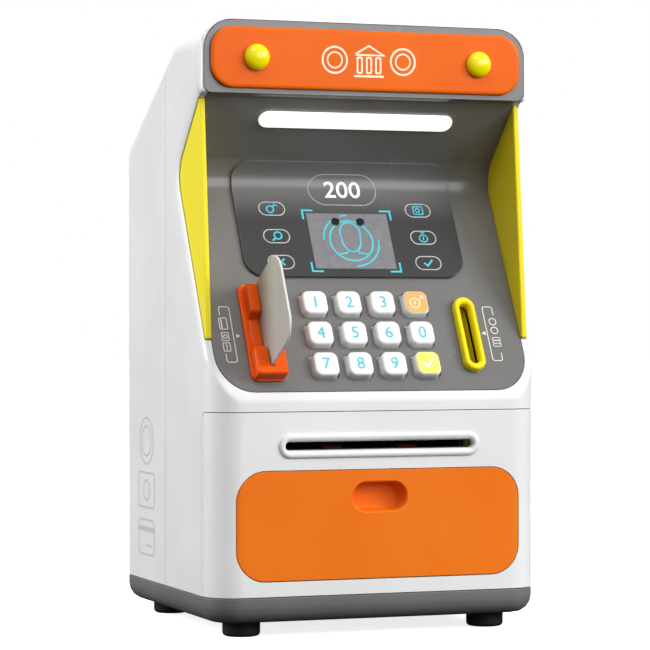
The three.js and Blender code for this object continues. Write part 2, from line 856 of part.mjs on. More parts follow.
function cardReader() {
  const rim = roundedRect(readerX, 0, readerWidth, readerLength, readerCornerRadius);
  const flange = onDeck(rim, gap, gap + readerFlange);
  const half = readerBlockLength / 2;
  const notch = readerSaddleLength / 2;
  const profile = filleted([
    corner(-half, gap + readerFlange / 2),
    corner(half, gap + readerFlange / 2),
    corner(half, readerBlockHeight, readerEdgeRadius),
    corner(readerSaddleCentre + notch + readerUpperSlope, readerBlockHeight, readerEdgeRadius),
    corner(readerSaddleCentre + notch, readerSaddleFloor),
    corner(readerSaddleCentre - notch, readerSaddleFloor),
    corner(readerSaddleCentre - notch - readerLowerSlope, readerBlockHeight, readerEdgeRadius),
    corner(-half, readerBlockHeight, readerEdgeRadius),
  ]);
  const raised = acrossDeck(profile, readerX - readerBlockWidth / 2, readerX + readerBlockWidth / 2);
  const slot = roundedRect(readerX, cardCentreS, cardThickness + 2 * cardSlotGap,
    cardLength + 2 * cardSlotGap, cardSlotRadius);
  return cut(join(flange, raised), onDeck(slot, -past, readerBlockHeight + past, { curveSegments: 2 }));
}

function bankCard() {
  const half = cardLength / 2;
  const shape = filleted([
    corner(cardCentreS - half, -cardDepth, cardHiddenRadius),
    corner(cardCentreS + half, -cardDepth, cardHiddenRadius),
    corner(cardCentreS + half, cardReach, cardRadius),
    corner(cardCentreS - half, cardReach, cardRadius),
  ]);
  return acrossDeck(shape, readerX - cardThickness / 2, readerX + cardThickness / 2);
}

function coinBezel() {
  const bevel = coinRingBevel;
  const width = coinSlotWidth + 2 * coinRingWidth;
  const length = coinSlotLength + 2 * coinRingRise;
  const ring = onDeck(stadium(coinX, coinCentreS, width - 2 * bevel, length - 2 * bevel),
    gap + bevel, coinRingHeight - bevel, {
      bevelEnabled: true,
      bevelSize: bevel,
      bevelThickness: bevel,
      bevelSegments: 1,
      curveSegments: 4,
    });
  const slot = stadium(coinX, coinCentreS, coinSlotWidth, coinSlotLength);
  return cut(ring, onDeck(slot, -1, coinRingHeight + 1));
}

// Coin channel seen from the side: in through the deck, then straight down to the drawer. The
// distances move its edges inwards: bottom, back, top, mouth and front.
function chuteShape(distances) {
  const slotEnd = (sign) => new THREE.Vector3(0, coinCentreS + (sign * coinSlotLength) / 2, -plateSeat)
    .applyMatrix4(deckMatrix);
  const top = slotEnd(1);
  const low = slotEnd(-1);
  const backY = front + chuteBackSetback;
  const topBackZ = top.z - (backY - top.y) * Math.tan(deckTilt);
  return filleted(inset([
    corner(low.y, chuteBottomZ),
    corner(backY, chuteBottomZ),
    corner(backY, topBackZ),
    corner(top.y, top.z),
    corner(low.y, low.z),
  ], distances));
}

function coinChute() {
  const half = coinSlotWidth / 2;
  const outerShape = chuteShape([0, -chuteWall, -chuteWall, 0, -chuteWall]);
  const outer = alongX(outerShape, coinX - half - chuteWall, coinX + half + chuteWall);
  return cut(outer, alongX(chuteShape([-1, 0, 0, -1, 0]), coinX - half, coinX + half));
}

// ---------------------------------------------------------------- lower front and drawer

const drawerCentreZ = (drawerBottomZ + drawerTopZ) / 2;

function drawerOutline(clearance) {
  return roundedRect(0, drawerCentreZ, 2 * (drawerHalf + clearance),
    drawerTopZ - drawerBottomZ + 2 * clearance, drawerRadius + clearance);
}

function lowerFront() {
  let panel = common(cut(bodyBlock(0, 0, 0), bodyBlock(shellWall, faceWall, -5)), lowerFrontSpace(0));
  const ringShape = stadium(0, noteSlotZ, noteSlotWidth + 2 * noteRingWidth,
    noteSlotHeight + 2 * noteRingRise);
  const ring = alongY(ringShape, front - noteRingHeight, front + shellWall / 2);
  panel = join(panel, ring);
  const noteSlot = stadium(0, noteSlotZ, noteSlotWidth, noteSlotHeight);
  const drawerHole = alongY(drawerOutline(gap), front - 3, front + lowerFrontDepth + 3);
  return cut(panel, drawerHole, alongY(noteSlot, front - 3, innerFront + 1));
}

const scoopZ = drawerTopZ - scoopTopDrop;

function drawerFront() {
  let panel = common(
    cut(bodyBlock(0, 0, 0), bodyBlock(shellWall, faceWall, -5)),
    alongY(drawerOutline(0), front - 3, front + lowerFrontDepth),
  );
  const cup = alongY(stadium(0, scoopZ, scoopWidth + 2 * scoopWall, scoopHeight + 2 * scoopWall),
    front + shellWall / 2, front + scoopDepth + scoopWall);
  panel = join(panel, cup);
  return cut(panel, alongY(stadium(0, scoopZ, scoopWidth, scoopHeight), front - 1, front + scoopDepth));
}

function drawerTray() {
  const y0 = innerFront + gap;
  const y1 = front + trayBack;
  const outer = block(-trayHalf, trayHalf, y0, y1, trayFloorZ, trayTopZ);
  const inner = block(-trayHalf + trayWall, trayHalf - trayWall, y0 - 1, y1 - trayWall,
    trayFloorZ + trayWall, trayTopZ + 1);
  return cut(outer, inner);
}

// ---------------------------------------------------------------- base

function baseTray() {
  const flat = {
    bevelEnabled: true,
    bevelSize: baseEdgeRadius,
    bevelThickness: baseEdgeRadius,
    bevelSegments: 4,
    curveSegments: 5,
  };
  const slabFootZ = baseBottomZ + baseEdgeRadius;
  const slab = alongZ(planShape(baseEdgeRadius), slabFootZ, baseTopZ + baseEdgeRadius, flat);
  const outer = common(slab, block(-right, right, front, back, 0, baseTopZ));
  const hollowShape = planShape(baseEdgeRadius + baseWall);
  const hollow = alongZ(hollowShape, slabFootZ + baseWall, baseTopZ + baseEdgeRadius, flat);
  const railBack = front + trayBack;
  const railTop = trayFloorZ - gap;
  const railEdge = right - railInset;
  const rails = [1, -1].map((side) => {
    const x = side * railEdge;
    return block(x - railWidth / 2, x + railWidth / 2, front + railFrontSetback, railBack,
      baseBottomZ + railSink, railTop);
  });
  return join(cut(outer, hollow), ...rails);
}

function foot(side, y) {
  const height = footHeight - gap;
  const inner = footRadius - footEdgeRadius;
  const profile = [new THREE.Vector2(0, 0), new THREE.Vector2(inner, 0)];
  const steps = 3;
  for (let step = 1; step <= steps; step += 1) {
    const angle = (Math.PI / 2) * (step / steps);
    const outwards = inner + footEdgeRadius * Math.sin(angle);
    profile.push(new THREE.Vector2(outwards, footEdgeRadius * (1 - Math.cos(angle))));
  }
  profile.push(new THREE.Vector2(footRadius, height), new THREE.Vector2(0, height));
  const pad = new THREE.LatheGeometry(profile, 18).rotateX(Math.PI / 2);
  return solid(pad.translate(side * (right - footInsetX), y, 0));
}

// ---------------------------------------------------------------- note feed

const feedY = front + feedSetback;
const feedZ = noteSlotZ - nip / 2 - feedRollerRadius;
const pinchZ = noteSlotZ + nip / 2 + pinchRadius;
const gearReach = (gearModule * (gearTeeth + pinionTeeth)) / 2;
const pinionY = feedY + gearReach * Math.cos(gearLean);
const pinionZ = feedZ + gearReach * Math.sin(gearLean);

// A straight-toothed wheel about the X axis.
function toothedWheel(teeth, x0, x1, y, z, startAngle) {
  const pitchRadius = (gearModule * teeth) / 2;
  const tip = pitchRadius + toothTip * gearModule;
  const root = pitchRadius - toothRoot * gearModule;
  const shape = new THREE.Shape();
  const pitch = (2 * Math.PI) / teeth;
  for (let tooth = 0; tooth < teeth; tooth += 1) {
    const centre = startAngle + tooth * pitch;
    const points = [
      [root, -toothRootShare],
      [tip, -toothTipShare],
      [tip, toothTipShare],
      [root, toothRootShare],
    ];
    points.forEach(([radius, share], index) => {
      const angle = centre + share * pitch;
      const px = radius * Math.cos(angle);
      const py = radius * Math.sin(angle);
      if (tooth === 0 && index === 0) shape.moveTo(px, py);
      else shape.lineTo(px, py);
    });
  }
  shape.closePath();
  return alongX(shape, x0, x1).translate([0, y, z]);
}

const gearLeft = gearX - gearWidth / 2;
const gearRight = gearX + gearWidth / 2;

function feedGear() {
  const wheel = toothedWheel(gearTeeth, gearLeft, gearRight, feedY, feedZ, gearLean);
  const bore = rodX(feedShaftRadius + bearingGap, gearLeft - past, gearRight + past, feedY, feedZ, 16);
  return cut(wheel, bore);
}

function motorPinion() {
  const gapAngle = gearLean + Math.PI + Math.PI / pinionTeeth;
  const wheel = toothedWheel(pinionTeeth, gearLeft, gearRight, pinionY, pinionZ, gapAngle);
  return join(wheel, rodX(pinionShaftRadius, guideLeftX - gap, gearX, pinionY, pinionZ, 12));
}

function feedShaft() {
  return rodX(feedShaftRadius, guideLeftX + gap, guideRightX - gap, feedY, feedZ, 16);
}

function feedRoller(side) {
  const x = side * feedRollerSpacing / 2;
  const half = feedRollerWidth / 2;
  const tyre = rodX(feedRollerRadius, x - half, x + half, feedY, feedZ, 24);
  return cut(tyre, rodX(feedShaftRadius + bearingGap, x - half - past, x + half + past, feedY, feedZ, 16));
}

function pinchRoller() {
  const half = feedRollerWidth / 2;
  const shaft = rodX(pinchShaftRadius, guideLeftX + gap, guideRightX - gap, feedY, pinchZ, 12);
  const tyres = [1, -1].map((side) => {
    const x = side * feedRollerSpacing / 2;
    return rodX(pinchRadius, x - half, x + half, feedY, pinchZ, 20);
  });
  return join(shaft, ...tyres);
}

function noteGuide() {
  const y0 = innerFront + gap;
  const y1 = front + guideBackSetback;
  const bracketY = front + bracketFrontSetback;
  let guide = block(guideLeftX, guideRightX, y0, y1, guideTopZ - guideThickness, guideTopZ);
  const bracketStarts = [guideLeftX, guideRightX - bracketThickness];
  for (const x of bracketStarts) {
    guide = join(guide, block(x, x + bracketThickness, bracketY, y1, bracketBottomZ, bracketTopZ));
  }
  const roomLowZ = guideTopZ - guideThickness - past;
  const roomHighZ = guideTopZ + past;
  const windowHalf = feedRollerWidth / 2 + feedWindowGap;
  const windowReach = feedRollerRadius + feedWindowGap;
  for (const side of [1, -1]) {
    const x = side * feedRollerSpacing / 2;
    const window = block(x - windowHalf, x + windowHalf, feedY - windowReach, feedY + windowReach,
      roomLowZ, roomHighZ);
    guide = cut(guide, window);
  }
  const gearRadius = (gearModule * gearTeeth) / 2 + gearModule;
  const pinionRadius = (gearModule * pinionTeeth) / 2 + gearModule;
  const gearRoom = block(guideLeftX + bracketThickness, gearRight + 2 * gearClearance, y0 - past,
    pinionY + pinionRadius + gap, roomLowZ, roomHighZ);
  const frontRoom = block(guideLeftX - past, guideLeftX + bracketThickness + gap, y0 - past,
    feedY - gearRadius - gearClearance, roomLowZ, roomHighZ);
  const x0 = guideLeftX - past;
  const x1 = guideRightX + past;
  return cut(guide, gearRoom, frontRoom,
    rodX(feedShaftRadius + bearingGap, x0, x1, feedY, feedZ, 16),
    rodX(pinchShaftRadius + bearingGap, x0, x1, feedY, pinchZ, 12),
    rodX(pinionShaftRadius + bearingGap, x0, gearLeft, pinionY, pinionZ, 12));
}

function feedMotor() {
  const x1 = guideLeftX - 2 * gap;
  return rodX(motorRadius, x1 - motorLength, x1, pinionY, pinionZ, 24);
}

// ---------------------------------------------------------------- lock

const boltY = front + trayBack - trayWall - boltTrayGap - boltDepth / 2;
const boltBottomZ = trayTopZ + boltLift;

function lockFrame() {
  const half = frameWidth / 2;
  const y0 = back - frameFront;
  const y1 = back - frameBack;
  const plate = block(-half, half, y0, y1, frameTopZ - frameThickness, frameTopZ);
  const wallBack = back - baseEdgeRadius - baseWall - frameWall / 2;
  const wallFootZ = baseBottomZ + baseWall + gap;
  const walls = [1, -1].map((side) => {
    const x = side * (half - frameWall / 2);
    return block(x - frameWall / 2, x + frameWall / 2, back - frameWallFront, wallBack, wallFootZ,
      frameTopZ - frameWallDrop);
  });
  const boltHole = block(-boltWidth / 2 - gap, boltWidth / 2 + gap, boltY - boltDepth / 2 - gap,
    boltY + boltDepth / 2 + gap, frameTopZ - frameThickness - past, frameTopZ + past);
  return cut(join(plate, ...walls), boltHole);
}

function lockBolt() {
  return block(-boltWidth / 2, boltWidth / 2, boltY - boltDepth / 2, boltY + boltDepth / 2,
    boltBottomZ, boltBottomZ + boltLength);
}

function lockSolenoid() {
  const z0 = frameTopZ + gap;
  const bodySolid = block(-solenoidWidth / 2, solenoidWidth / 2, boltY - solenoidDepth / 2,
    boltY + solenoidDepth / 2, z0, z0 + solenoidHeight);
  const bore = block(-boltWidth / 2 - gap, boltWidth / 2 + gap, boltY - boltDepth / 2 - gap,
    boltY + boltDepth / 2 + gap, z0 - past, boltBottomZ + boltLength + past);
  return cut(bodySolid, bore);
}

// ---------------------------------------------------------------- power, sound and fasteners

function batteryCover() {
  const width = batteryBoxWidth - 2 * gap;
  const height = batteryBoxHeight - 2 * gap;
  return alongY(roundedRect(0, batteryBoxZ, width, height, coverRadius), back - coverThickness, back);
}

function battery(index) {
  const z = batteryBoxZ + (index - (batteryCount - 1) / 2) * batteryPitch;
  const y = back - coverThickness - batteryCoverGap - batteryRadius;
  const half = batteryLength / 2;
  const shoulder = half - batteryTipLength;
  const can = rodX(batteryRadius, -half, shoulder, y, z, 20);
  return join(can, rodX(batteryTipRadius, shoulder - batteryTipLength, half, y, z, 12));
}

function speaker() {
  const y1 = innerBack - gap;
  return join(rodY(speakerRadius, 0, y1 - speakerRim, y1, speakerZ, 28),
    rodY(speakerMagnetRadius, 0, y1 - speakerThickness, y1 - speakerRim / 2, speakerZ, 20));
}

function powerSwitch() {
  const z0 = switchZ - switchNubHeight / 2;
  const z1 = z0 + switchNubHeight;
  const nubFoot = innerBack - switchPlateDepth / 2;
  const nub = block(switchX, switchX + switchNubWidth, nubFoot, back - switchSink, z0, z1);
  const slider = block(switchX - switchPlateMargin, switchX + switchNubWidth + switchPlateMargin,
    innerBack - switchPlateDepth, innerBack - gap, z0 - switchPlateRise, z1 + switchPlateRise);
  return join(nub, slider);
}

function housingScrew({ side, z }) {
  const seat = rearPostFront + postFloor + gap;
  const x = postX(side);
  const head = rodY(screwHeadRadius, x, seat, seat + screwHeadHeight, z, 16);
  const shankTop = seat + screwHeadHeight / 2;
  return join(head, rodY(screwShankRadius, x, seat - screwShankLength, shankTop, z, 10));
}

// ---------------------------------------------------------------- the assembly

const toyBank = new THREE.Group();
const model = new THREE.Group();
toyBank.add(model);

function addPiece(name, body, colour, roughness = 0.45, metalness = 0) {
  const material = new THREE.MeshStandardMaterial({ color: colour, roughness, metalness });
  const mesh = new THREE.Mesh(toGeometry(body), material);
  mesh.name = name;
  model.add(mesh);
}

addPiece("rear_shell", rearShell(), colours.white);
addPiece("front_shell", frontShell(), colours.white);
addPiece("lower_front", lowerFront(), colours.white);
addPiece("face_plate", facePlate(), colours.plateGrey, 0.3);
addPiece("banner", banner(), colours.orange, 0.35);
addPiece("light_bar", lightBar(), colours.glow, 0.3);
addPiece("screen_window", screenWindow(), colours.darkGrey, 0.15);
addPiece("keypad_mat", keypadMat(), colours.clearGrey, 0.8);
addPiece("circuit_board", circuitBoard(), colours.circuit, 0.5);
addPiece("card_reader", cardReader(), colours.readerOrange, 0.4);
addPiece("bank_card", bankCard(), colours.white, 0.4);
addPiece("coin_slot_bezel", coinBezel(), colours.yellow, 0.4);
addPiece("coin_chute", coinChute(), colours.white);
addPiece("drawer_front", drawerFront(), colours.orange, 0.4);
addPiece("drawer_tray", drawerTray(), colours.orange, 0.5);
addPiece("base_tray", baseTray(), colours.baseGrey, 0.55);
addPiece("note_guide", noteGuide(), colours.darkGrey);
addPiece("feed_shaft", feedShaft(), colours.steel, 0.3, 0.9);
addPiece("feed_gear", feedGear(), colours.white);
addPiece("motor_pinion", motorPinion(), colours.white);
addPiece("pinch_roller", pinchRoller(), colours.black, 0.8);
addPiece("feed_motor", feedMotor(), colours.steel, 0.35, 0.9);
addPiece("lock_frame", lockFrame(), colours.darkGrey);
addPiece("lock_bolt", lockBolt(), colours.steel, 0.35, 0.9);
addPiece("lock_solenoid", lockSolenoid(), colours.black);
addPiece("battery_cover", batteryCover(), colours.white);
addPiece("speaker", speaker(), colours.black, 0.7);
addPiece("power_switch", powerSwitch(), colours.black);

for (const { name, side } of [{ name: "left", side: -1 }, { name: "right", side: 1 }]) {
  addPiece(`wing_${name}`, wingSolid(side, 0), colours.yellow, 0.35);
  addPiece(`lamp_${name}`, lamp(side), colours.yellow, 0.25);
  addPiece(`sensor_${name}`, screenSensor(side), colours.black, 0.2);
  addPiece(`feed_roller_${name}`, feedRoller(side), colours.readerOrange, 0.8);
  addPiece(`foot_front_${name}`, foot(side, front + frontFootInset), colours.black, 0.9);
  addPiece(`foot_rear_${name}`, foot(side, back - rearFootInset), colours.black, 0.9);
}

const keyColours = { coin: colours.keyCream, enter: colours.keyYellow };
for (const { name, x, s } of keyPlaces()) {
  addPiece(`key_${name}`, key(x, s), keyColours[name] ?? colours.white, 0.4);
}

for (let index = 0; index < batteryCount; index += 1) {
  addPiece(`battery_${index + 1}`, battery(index), colours.steel, 0.4, 0.6);
}

for (const place of screwPlaces()) {
  addPiece(`housing_screw_${place.name}`, housingScrew(place), colours.steel, 0.35, 0.9);
}

// The frame's origin is the centre of the whole model's footprint, under the feet.
const extent = new THREE.Box3().setFromObject(model);
model.position.y = -(extent.min.y + extent.max.y) / 2;
toyBank.updateMatrixWorld(true);

export default toyBank;
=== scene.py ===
# %% [markdown]
# # A toy cash machine savings bank
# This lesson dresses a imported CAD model. The CAD model already knows every size, joint and
# clearance. Here each visible moulding gets a clean mesh with real rounded edges, and a material
# that behaves like its plastic, rubber or print. The first step loads the frame and keeps its box,
# because the finished toy has to fit the same space.

# %% Load the frame
import math

import bpy
import bmesh
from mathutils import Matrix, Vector


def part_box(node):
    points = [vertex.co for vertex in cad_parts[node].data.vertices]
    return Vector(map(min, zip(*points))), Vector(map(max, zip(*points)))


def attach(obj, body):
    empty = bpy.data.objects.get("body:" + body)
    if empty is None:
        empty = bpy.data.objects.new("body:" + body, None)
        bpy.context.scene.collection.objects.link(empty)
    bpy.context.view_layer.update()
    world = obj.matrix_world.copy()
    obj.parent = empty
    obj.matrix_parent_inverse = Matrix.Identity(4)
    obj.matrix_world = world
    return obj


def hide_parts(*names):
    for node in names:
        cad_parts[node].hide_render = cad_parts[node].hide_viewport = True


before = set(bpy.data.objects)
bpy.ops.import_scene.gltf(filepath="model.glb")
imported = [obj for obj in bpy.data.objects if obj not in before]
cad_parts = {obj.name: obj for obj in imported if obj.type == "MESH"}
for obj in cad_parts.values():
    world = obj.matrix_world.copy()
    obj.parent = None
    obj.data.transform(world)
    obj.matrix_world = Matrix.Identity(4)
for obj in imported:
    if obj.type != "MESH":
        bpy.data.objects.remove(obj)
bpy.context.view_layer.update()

# %% [markdown]
# ## Driving sizes
# All the drawing below is done in millimetres, because that is how a toy maker thinks, and one
# factor turns it into metres. The outer planes come from the frame, so they are never typed twice.
# Two more sizes are shared by every moulding: the fine gap at each seam, and the wall thickness.

# %% Read the outer planes from the frame
MM = 0.001


def node_box(node):
    """Lowest and highest corner of a CAD node, in millimetres."""
    low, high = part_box(node)
    return [value / MM for value in low], [value / MM for value in high]


half_width = node_box("rear_shell")[1][0]
back = node_box("rear_shell")[1][1]
front = node_box("drawer_front")[0][1]
top = node_box("front_shell")[1][2]
base_low = node_box("base_tray")[0][2]
shell_low = node_box("rear_shell")[0][2]
gap = 0.3
wall = 2.2
print(f"body {2 * half_width:.1f} x {back - front:.1f} x {top:.1f} mm")

# %% [markdown]
# ## The side outline
# Seen from the side the toy is one outline: a steep keypad deck, a tight bend, a hood that leans
# out over it, a flat crown and a sloping back. It is written as sharp corners, each with a fillet
# radius. Keeping the corners sharp until the last moment makes it easy to move every edge inwards,
# which is how walls, grooves and rounded rims are made.

# %% Outline tools
def corner(a, b, radius=0.0):
    return (Vector((a, b)), radius)


def inset(corners, distances):
    """Moves each edge of an anticlockwise outline inwards by its own distance."""
    count = len(corners)
    edges = []
    for i, (point, _) in enumerate(corners):
        along = (corners[(i + 1) % count][0] - point).normalized()
        inward = Vector((-along.y, along.x))
        edges.append((point + inward * distances[i], along))
    moved = []
    for i, (_, radius) in enumerate(corners):
        p, d = edges[i - 1]
        q, e = edges[i]
        turn = d.x * e.y - d.y * e.x
        step = ((q - p).x * e.y - (q - p).y * e.x) / turn
        shift = (distances[i - 1] + distances[i]) / 2
        new_radius = max(radius - math.copysign(shift, turn), 0.05) if radius else 0.0
        moved.append((p + d * step, new_radius))
    return moved


def outline(corners, steps=8):
    """Points round a closed outline, with the same number of points at every fillet."""
    points = []
    count = len(corners)
    for i, (point, radius) in enumerate(corners):
        if radius <= 0:
            points.append(point.copy())
            continue
        to_before = (corners[i - 1][0] - point).normalized()
        to_after = (corners[(i + 1) % count][0] - point).normalized()
        half = to_before.angle(to_after) / 2
        longest = 0.49 * min((corners[i - 1][0] - point).length,
                             (corners[(i + 1) % count][0] - point).length)
        reach = min(radius / math.tan(half), longest)
        radius = reach * math.tan(half)
        centre = point + (to_before + to_after).normalized() * (radius / math.sin(half))
        start = point + to_before * reach - centre
        end = point + to_after * reach - centre
        sweep = start.angle(end)
        side = 1 if start.x * end.y - start.y * end.x > 0 else -1
        for k in range(steps + 1):
            angle = side * sweep * k / steps
            turned = Vector((start.x * math.cos(angle) - start.y * math.sin(angle),
                             start.x * math.sin(angle) + start.y * math.cos(angle)))
            points.append(centre + turned)
    return points


def rounded_rect(cx, cy, width, height, radius, steps=8):
    """A fillet never quite reaches half a side, so that each side keeps some length."""
    w, h = width / 2, height / 2
    radius = min(radius, w - 0.001, h - 0.001)
    return outline([corner(cx - w, cy - h, radius), corner(cx + w, cy - h, radius),
                    corner(cx + w, cy + h, radius), corner(cx - w, cy + h, radius)], steps)


def circle(cx, cy, radius, count=28):
    turns = [2 * math.pi * k / count for k in range(count)]
    return [Vector((cx + radius * math.cos(t), cy + radius * math.sin(t))) for t in turns]


def stadium(cx, cy, width, height, steps=8):
    return rounded_rect(cx, cy, width, height, min(width, height) / 2, steps)


print("a corner keeps its fillet radius:", corner(3, 4, 1))

# %% [markdown]
# ### The side outline
# Everything on this toy follows one side view: an upright back, a slope at the top, the hood, the
# slant that holds the light bar, the bend and the tilted deck. Each corner carries its own fillet
# radius, so the whole outline is nine corners and not a long list of points.

# %% The side outline
deck_tilt = math.radians(28.15)
deck_foot_z = 93.9
bend_radius = 12.6
lip = (front + 18.3, top - 31.4)
hood_front = front + 14.4
slope_height = 40.8
slope_foot_z = top - slope_height
back_slope = math.radians(31)
deck_slope = math.tan(deck_tilt)
# The slant under the hood falls at 45 degrees and meets the deck at the bend.
bend_y = (lip[0] + lip[1] - deck_foot_z + front / deck_slope) / (1 + 1 / deck_slope)
bend = (bend_y, lip[0] + lip[1] - bend_y)
side_corners = [
    corner(front, shell_low),
    corner(back, shell_low),
    corner(back, slope_foot_z, 12),
    corner(back - slope_height / math.tan(back_slope), top, 25),
    corner(hood_front, top, 4),
    corner(hood_front, lip[1], 1.5),
    corner(lip[0], lip[1], 6),
    corner(bend[0], bend[1], bend_radius),
    corner(front, deck_foot_z, 8),
]
print(f"bend corner at y {bend[0]:.1f}, z {bend[1]:.1f} mm")

# %% [markdown]
# ## Places on the face
# Keys, print and slots all sit on the tilted deck, and the screen even wraps over the bend. A
# small helper turns "x across, s up along the face, h out of it" into a place in the room, so the
# rest of the lesson can draw on the face as if it were flat paper.

# %% Face coordinates
deck_centre_z = 119.0
deck_centre_y = front + (deck_centre_z - deck_foot_z) * deck_slope
up_deck = Vector((0, math.sin(deck_tilt), math.cos(deck_tilt)))
out_deck = Vector((0, -math.cos(deck_tilt), math.sin(deck_tilt)))
bend_turn = math.pi / 4 + deck_tilt
bend_reach = bend_radius * math.tan(bend_turn / 2)
bend_s = (bend[1] - deck_centre_z) / math.cos(deck_tilt)
bend_start_s = bend_s - bend_reach
bend_length = bend_radius * bend_turn


def on_face(x, s, h=0.0):
    """A point on the face: s runs up the deck, round the bend and out along the hood."""
    origin = Vector((0, deck_centre_y, deck_centre_z))
    if s <= bend_start_s:
        place = origin + up_deck * s + out_deck * h
    else:
        centre = origin + up_deck * bend_start_s + out_deck * bend_radius
        turn = min(s - bend_start_s, bend_length) / bend_radius
        along = up_deck * math.cos(turn) + out_deck * math.sin(turn)
        away = out_deck * math.cos(turn) - up_deck * math.sin(turn)
        place = centre - away * (bend_radius - h) + along * max(s - bend_start_s - bend_length, 0)
    return Vector((x, place.y, place.z))


def s_at(z):
    """Distance up the deck at which the face reaches height z."""
    return (z - deck_centre_z) / math.cos(deck_tilt)


print(f"bend starts {bend_start_s:.1f} mm up the deck and is {bend_length:.1f} mm long")

# %% [markdown]
# ## Mesh tools
# Most pieces here are lofts: a stack of matching rings joined by quads. Rings that shrink near
# the ends give true rounded edges that catch light the way a moulding does. Holes are cut with a
# boolean, which is applied at once so that later steps see the real mesh.

# %% Mesh tools
def new_object(name, bm):
    bmesh.ops.recalc_face_normals(bm, faces=bm.faces)
    mesh = bpy.data.meshes.new(name)
    bm.to_mesh(mesh)
    bm.free()
    obj = bpy.data.objects.new(name, mesh)
    bpy.context.scene.collection.objects.link(obj)
    return obj


def loft(name, rings, closed_ends=True):
    """Joins rings of points (millimetres) with quads and closes both ends."""
    bm = bmesh.new()
    levels = [[bm.verts.new(Vector(p) * MM) for p in ring] for ring in rings]
    count = len(levels[0])
    for low, high in zip(levels, levels[1:]):
        for i in range(count):
            j = (i + 1) % count
            bm.faces.new((low[i], low[j], high[j], high[i]))
    if closed_ends:
        bm.faces.new(levels[0][::-1])
        bm.faces.new(levels[-1])
    return new_object(name, bm)


def prism(name, points, place, low, high):
    """A straight prism: place(a, b, height) puts an outline point in the room."""
    return loft(name, [[place(p.x, p.y, level) for p in points] for level in (low, high)])


def along_x(a, b, height):
    return Vector((height, a, b))


def along_y(a, b, height):
    return Vector((a, height, b))


def along_z(a, b, height):
    return Vector((a, b, height))


def along_ring(points, y):
    return [along_y(p.x, p.y, y) for p in points]


print("mesh tools ready, 1 mm is", MM, "m")

# %% [markdown]
# ### Cutting, softening and placing
# A boolean cuts or joins two meshes. Booleans leave knife-sharp edges, so a narrow bevel and
# weighted normals follow, and a light then rolls over every edge.

# %% Cutting, softening and placing
def apply_modifiers(obj):
    """Bakes the modifiers into a new mesh, so that the next step works on the real result."""
    graph = bpy.context.evaluated_depsgraph_get()
    mesh = bpy.data.meshes.new_from_object(obj.evaluated_get(graph))
    old = obj.data
    obj.modifiers.clear()
    obj.data = mesh
    bpy.data.meshes.remove(old)


def combine(obj, others, operation="DIFFERENCE"):
    """Cuts the others out of a piece, or joins them to it, and removes them."""
    for other in others:
        step = obj.modifiers.new("boolean", "BOOLEAN")
        step.operation = operation
        step.solver = "EXACT"
        step.object = other
        apply_modifiers(obj)
        bpy.data.objects.remove(other)
    return obj


def soften(obj, width=0.35, segments=2, angle=32):
    """A small bevel on sharp edges only, then smooth shading with sharp creases kept."""
    bevel = obj.modifiers.new("edge", "BEVEL")
    bevel.width = width * MM
    bevel.segments = segments
    bevel.limit_method = "ANGLE"
    bevel.angle_limit = math.radians(angle)
    bevel.use_clamp_overlap = True
    bevel.harden_normals = True
    return smooth(obj)


def smooth(obj, angle=32):
    """Smooth shading that breaks wherever two faces meet at more than the angle."""
    for face in obj.data.polygons:
        face.use_smooth = True
    obj.data.set_sharp_from_angle(angle=math.radians(angle))
    weighted = obj.modifiers.new("normals", "WEIGHTED_NORMAL")
    weighted.keep_sharp = True
    return obj


def place_piece(obj, body, material, *nodes):
    """Gives a piece its material and body, and hides the CAD nodes it stands for."""
    obj.data.materials.clear()
    obj.data.materials.append(material)
    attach(obj, body)
    if nodes:
        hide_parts(*nodes)
    return obj


# %% [markdown]
# ## Camera and light
# The toy is seen from a little to its left, level with its middle, through a long lens that keeps
# the sides nearly parallel. Big soft lamps suit glossy plastic: the plastic mirrors their shapes,
# so a wide lamp gives a wide, calm highlight. The room around it is plain and pale.

# %% Camera
view_turn = math.radians(20.42)
camera_data = bpy.data.cameras.new("camera")
camera_data.lens = 153.9
camera_data.sensor_width = 36
camera_data.shift_y = -0.018
camera_data.clip_end = 20
camera = bpy.data.objects.new("camera", camera_data)
camera.location = Vector((-403.8, front - 1021.9, 127.1)) * MM
camera.rotation_euler = (math.pi / 2, 0, -view_turn)
bpy.context.scene.collection.objects.link(camera)
bpy.context.scene.camera = camera
print("camera", [round(v, 3) for v in camera.location])

# %% Room and lamps
scene = bpy.context.scene
scene.view_settings.view_transform = "Standard"
scene.view_settings.look = "None"
world = bpy.data.worlds.new("room")
scene.world = world
world.use_nodes = True


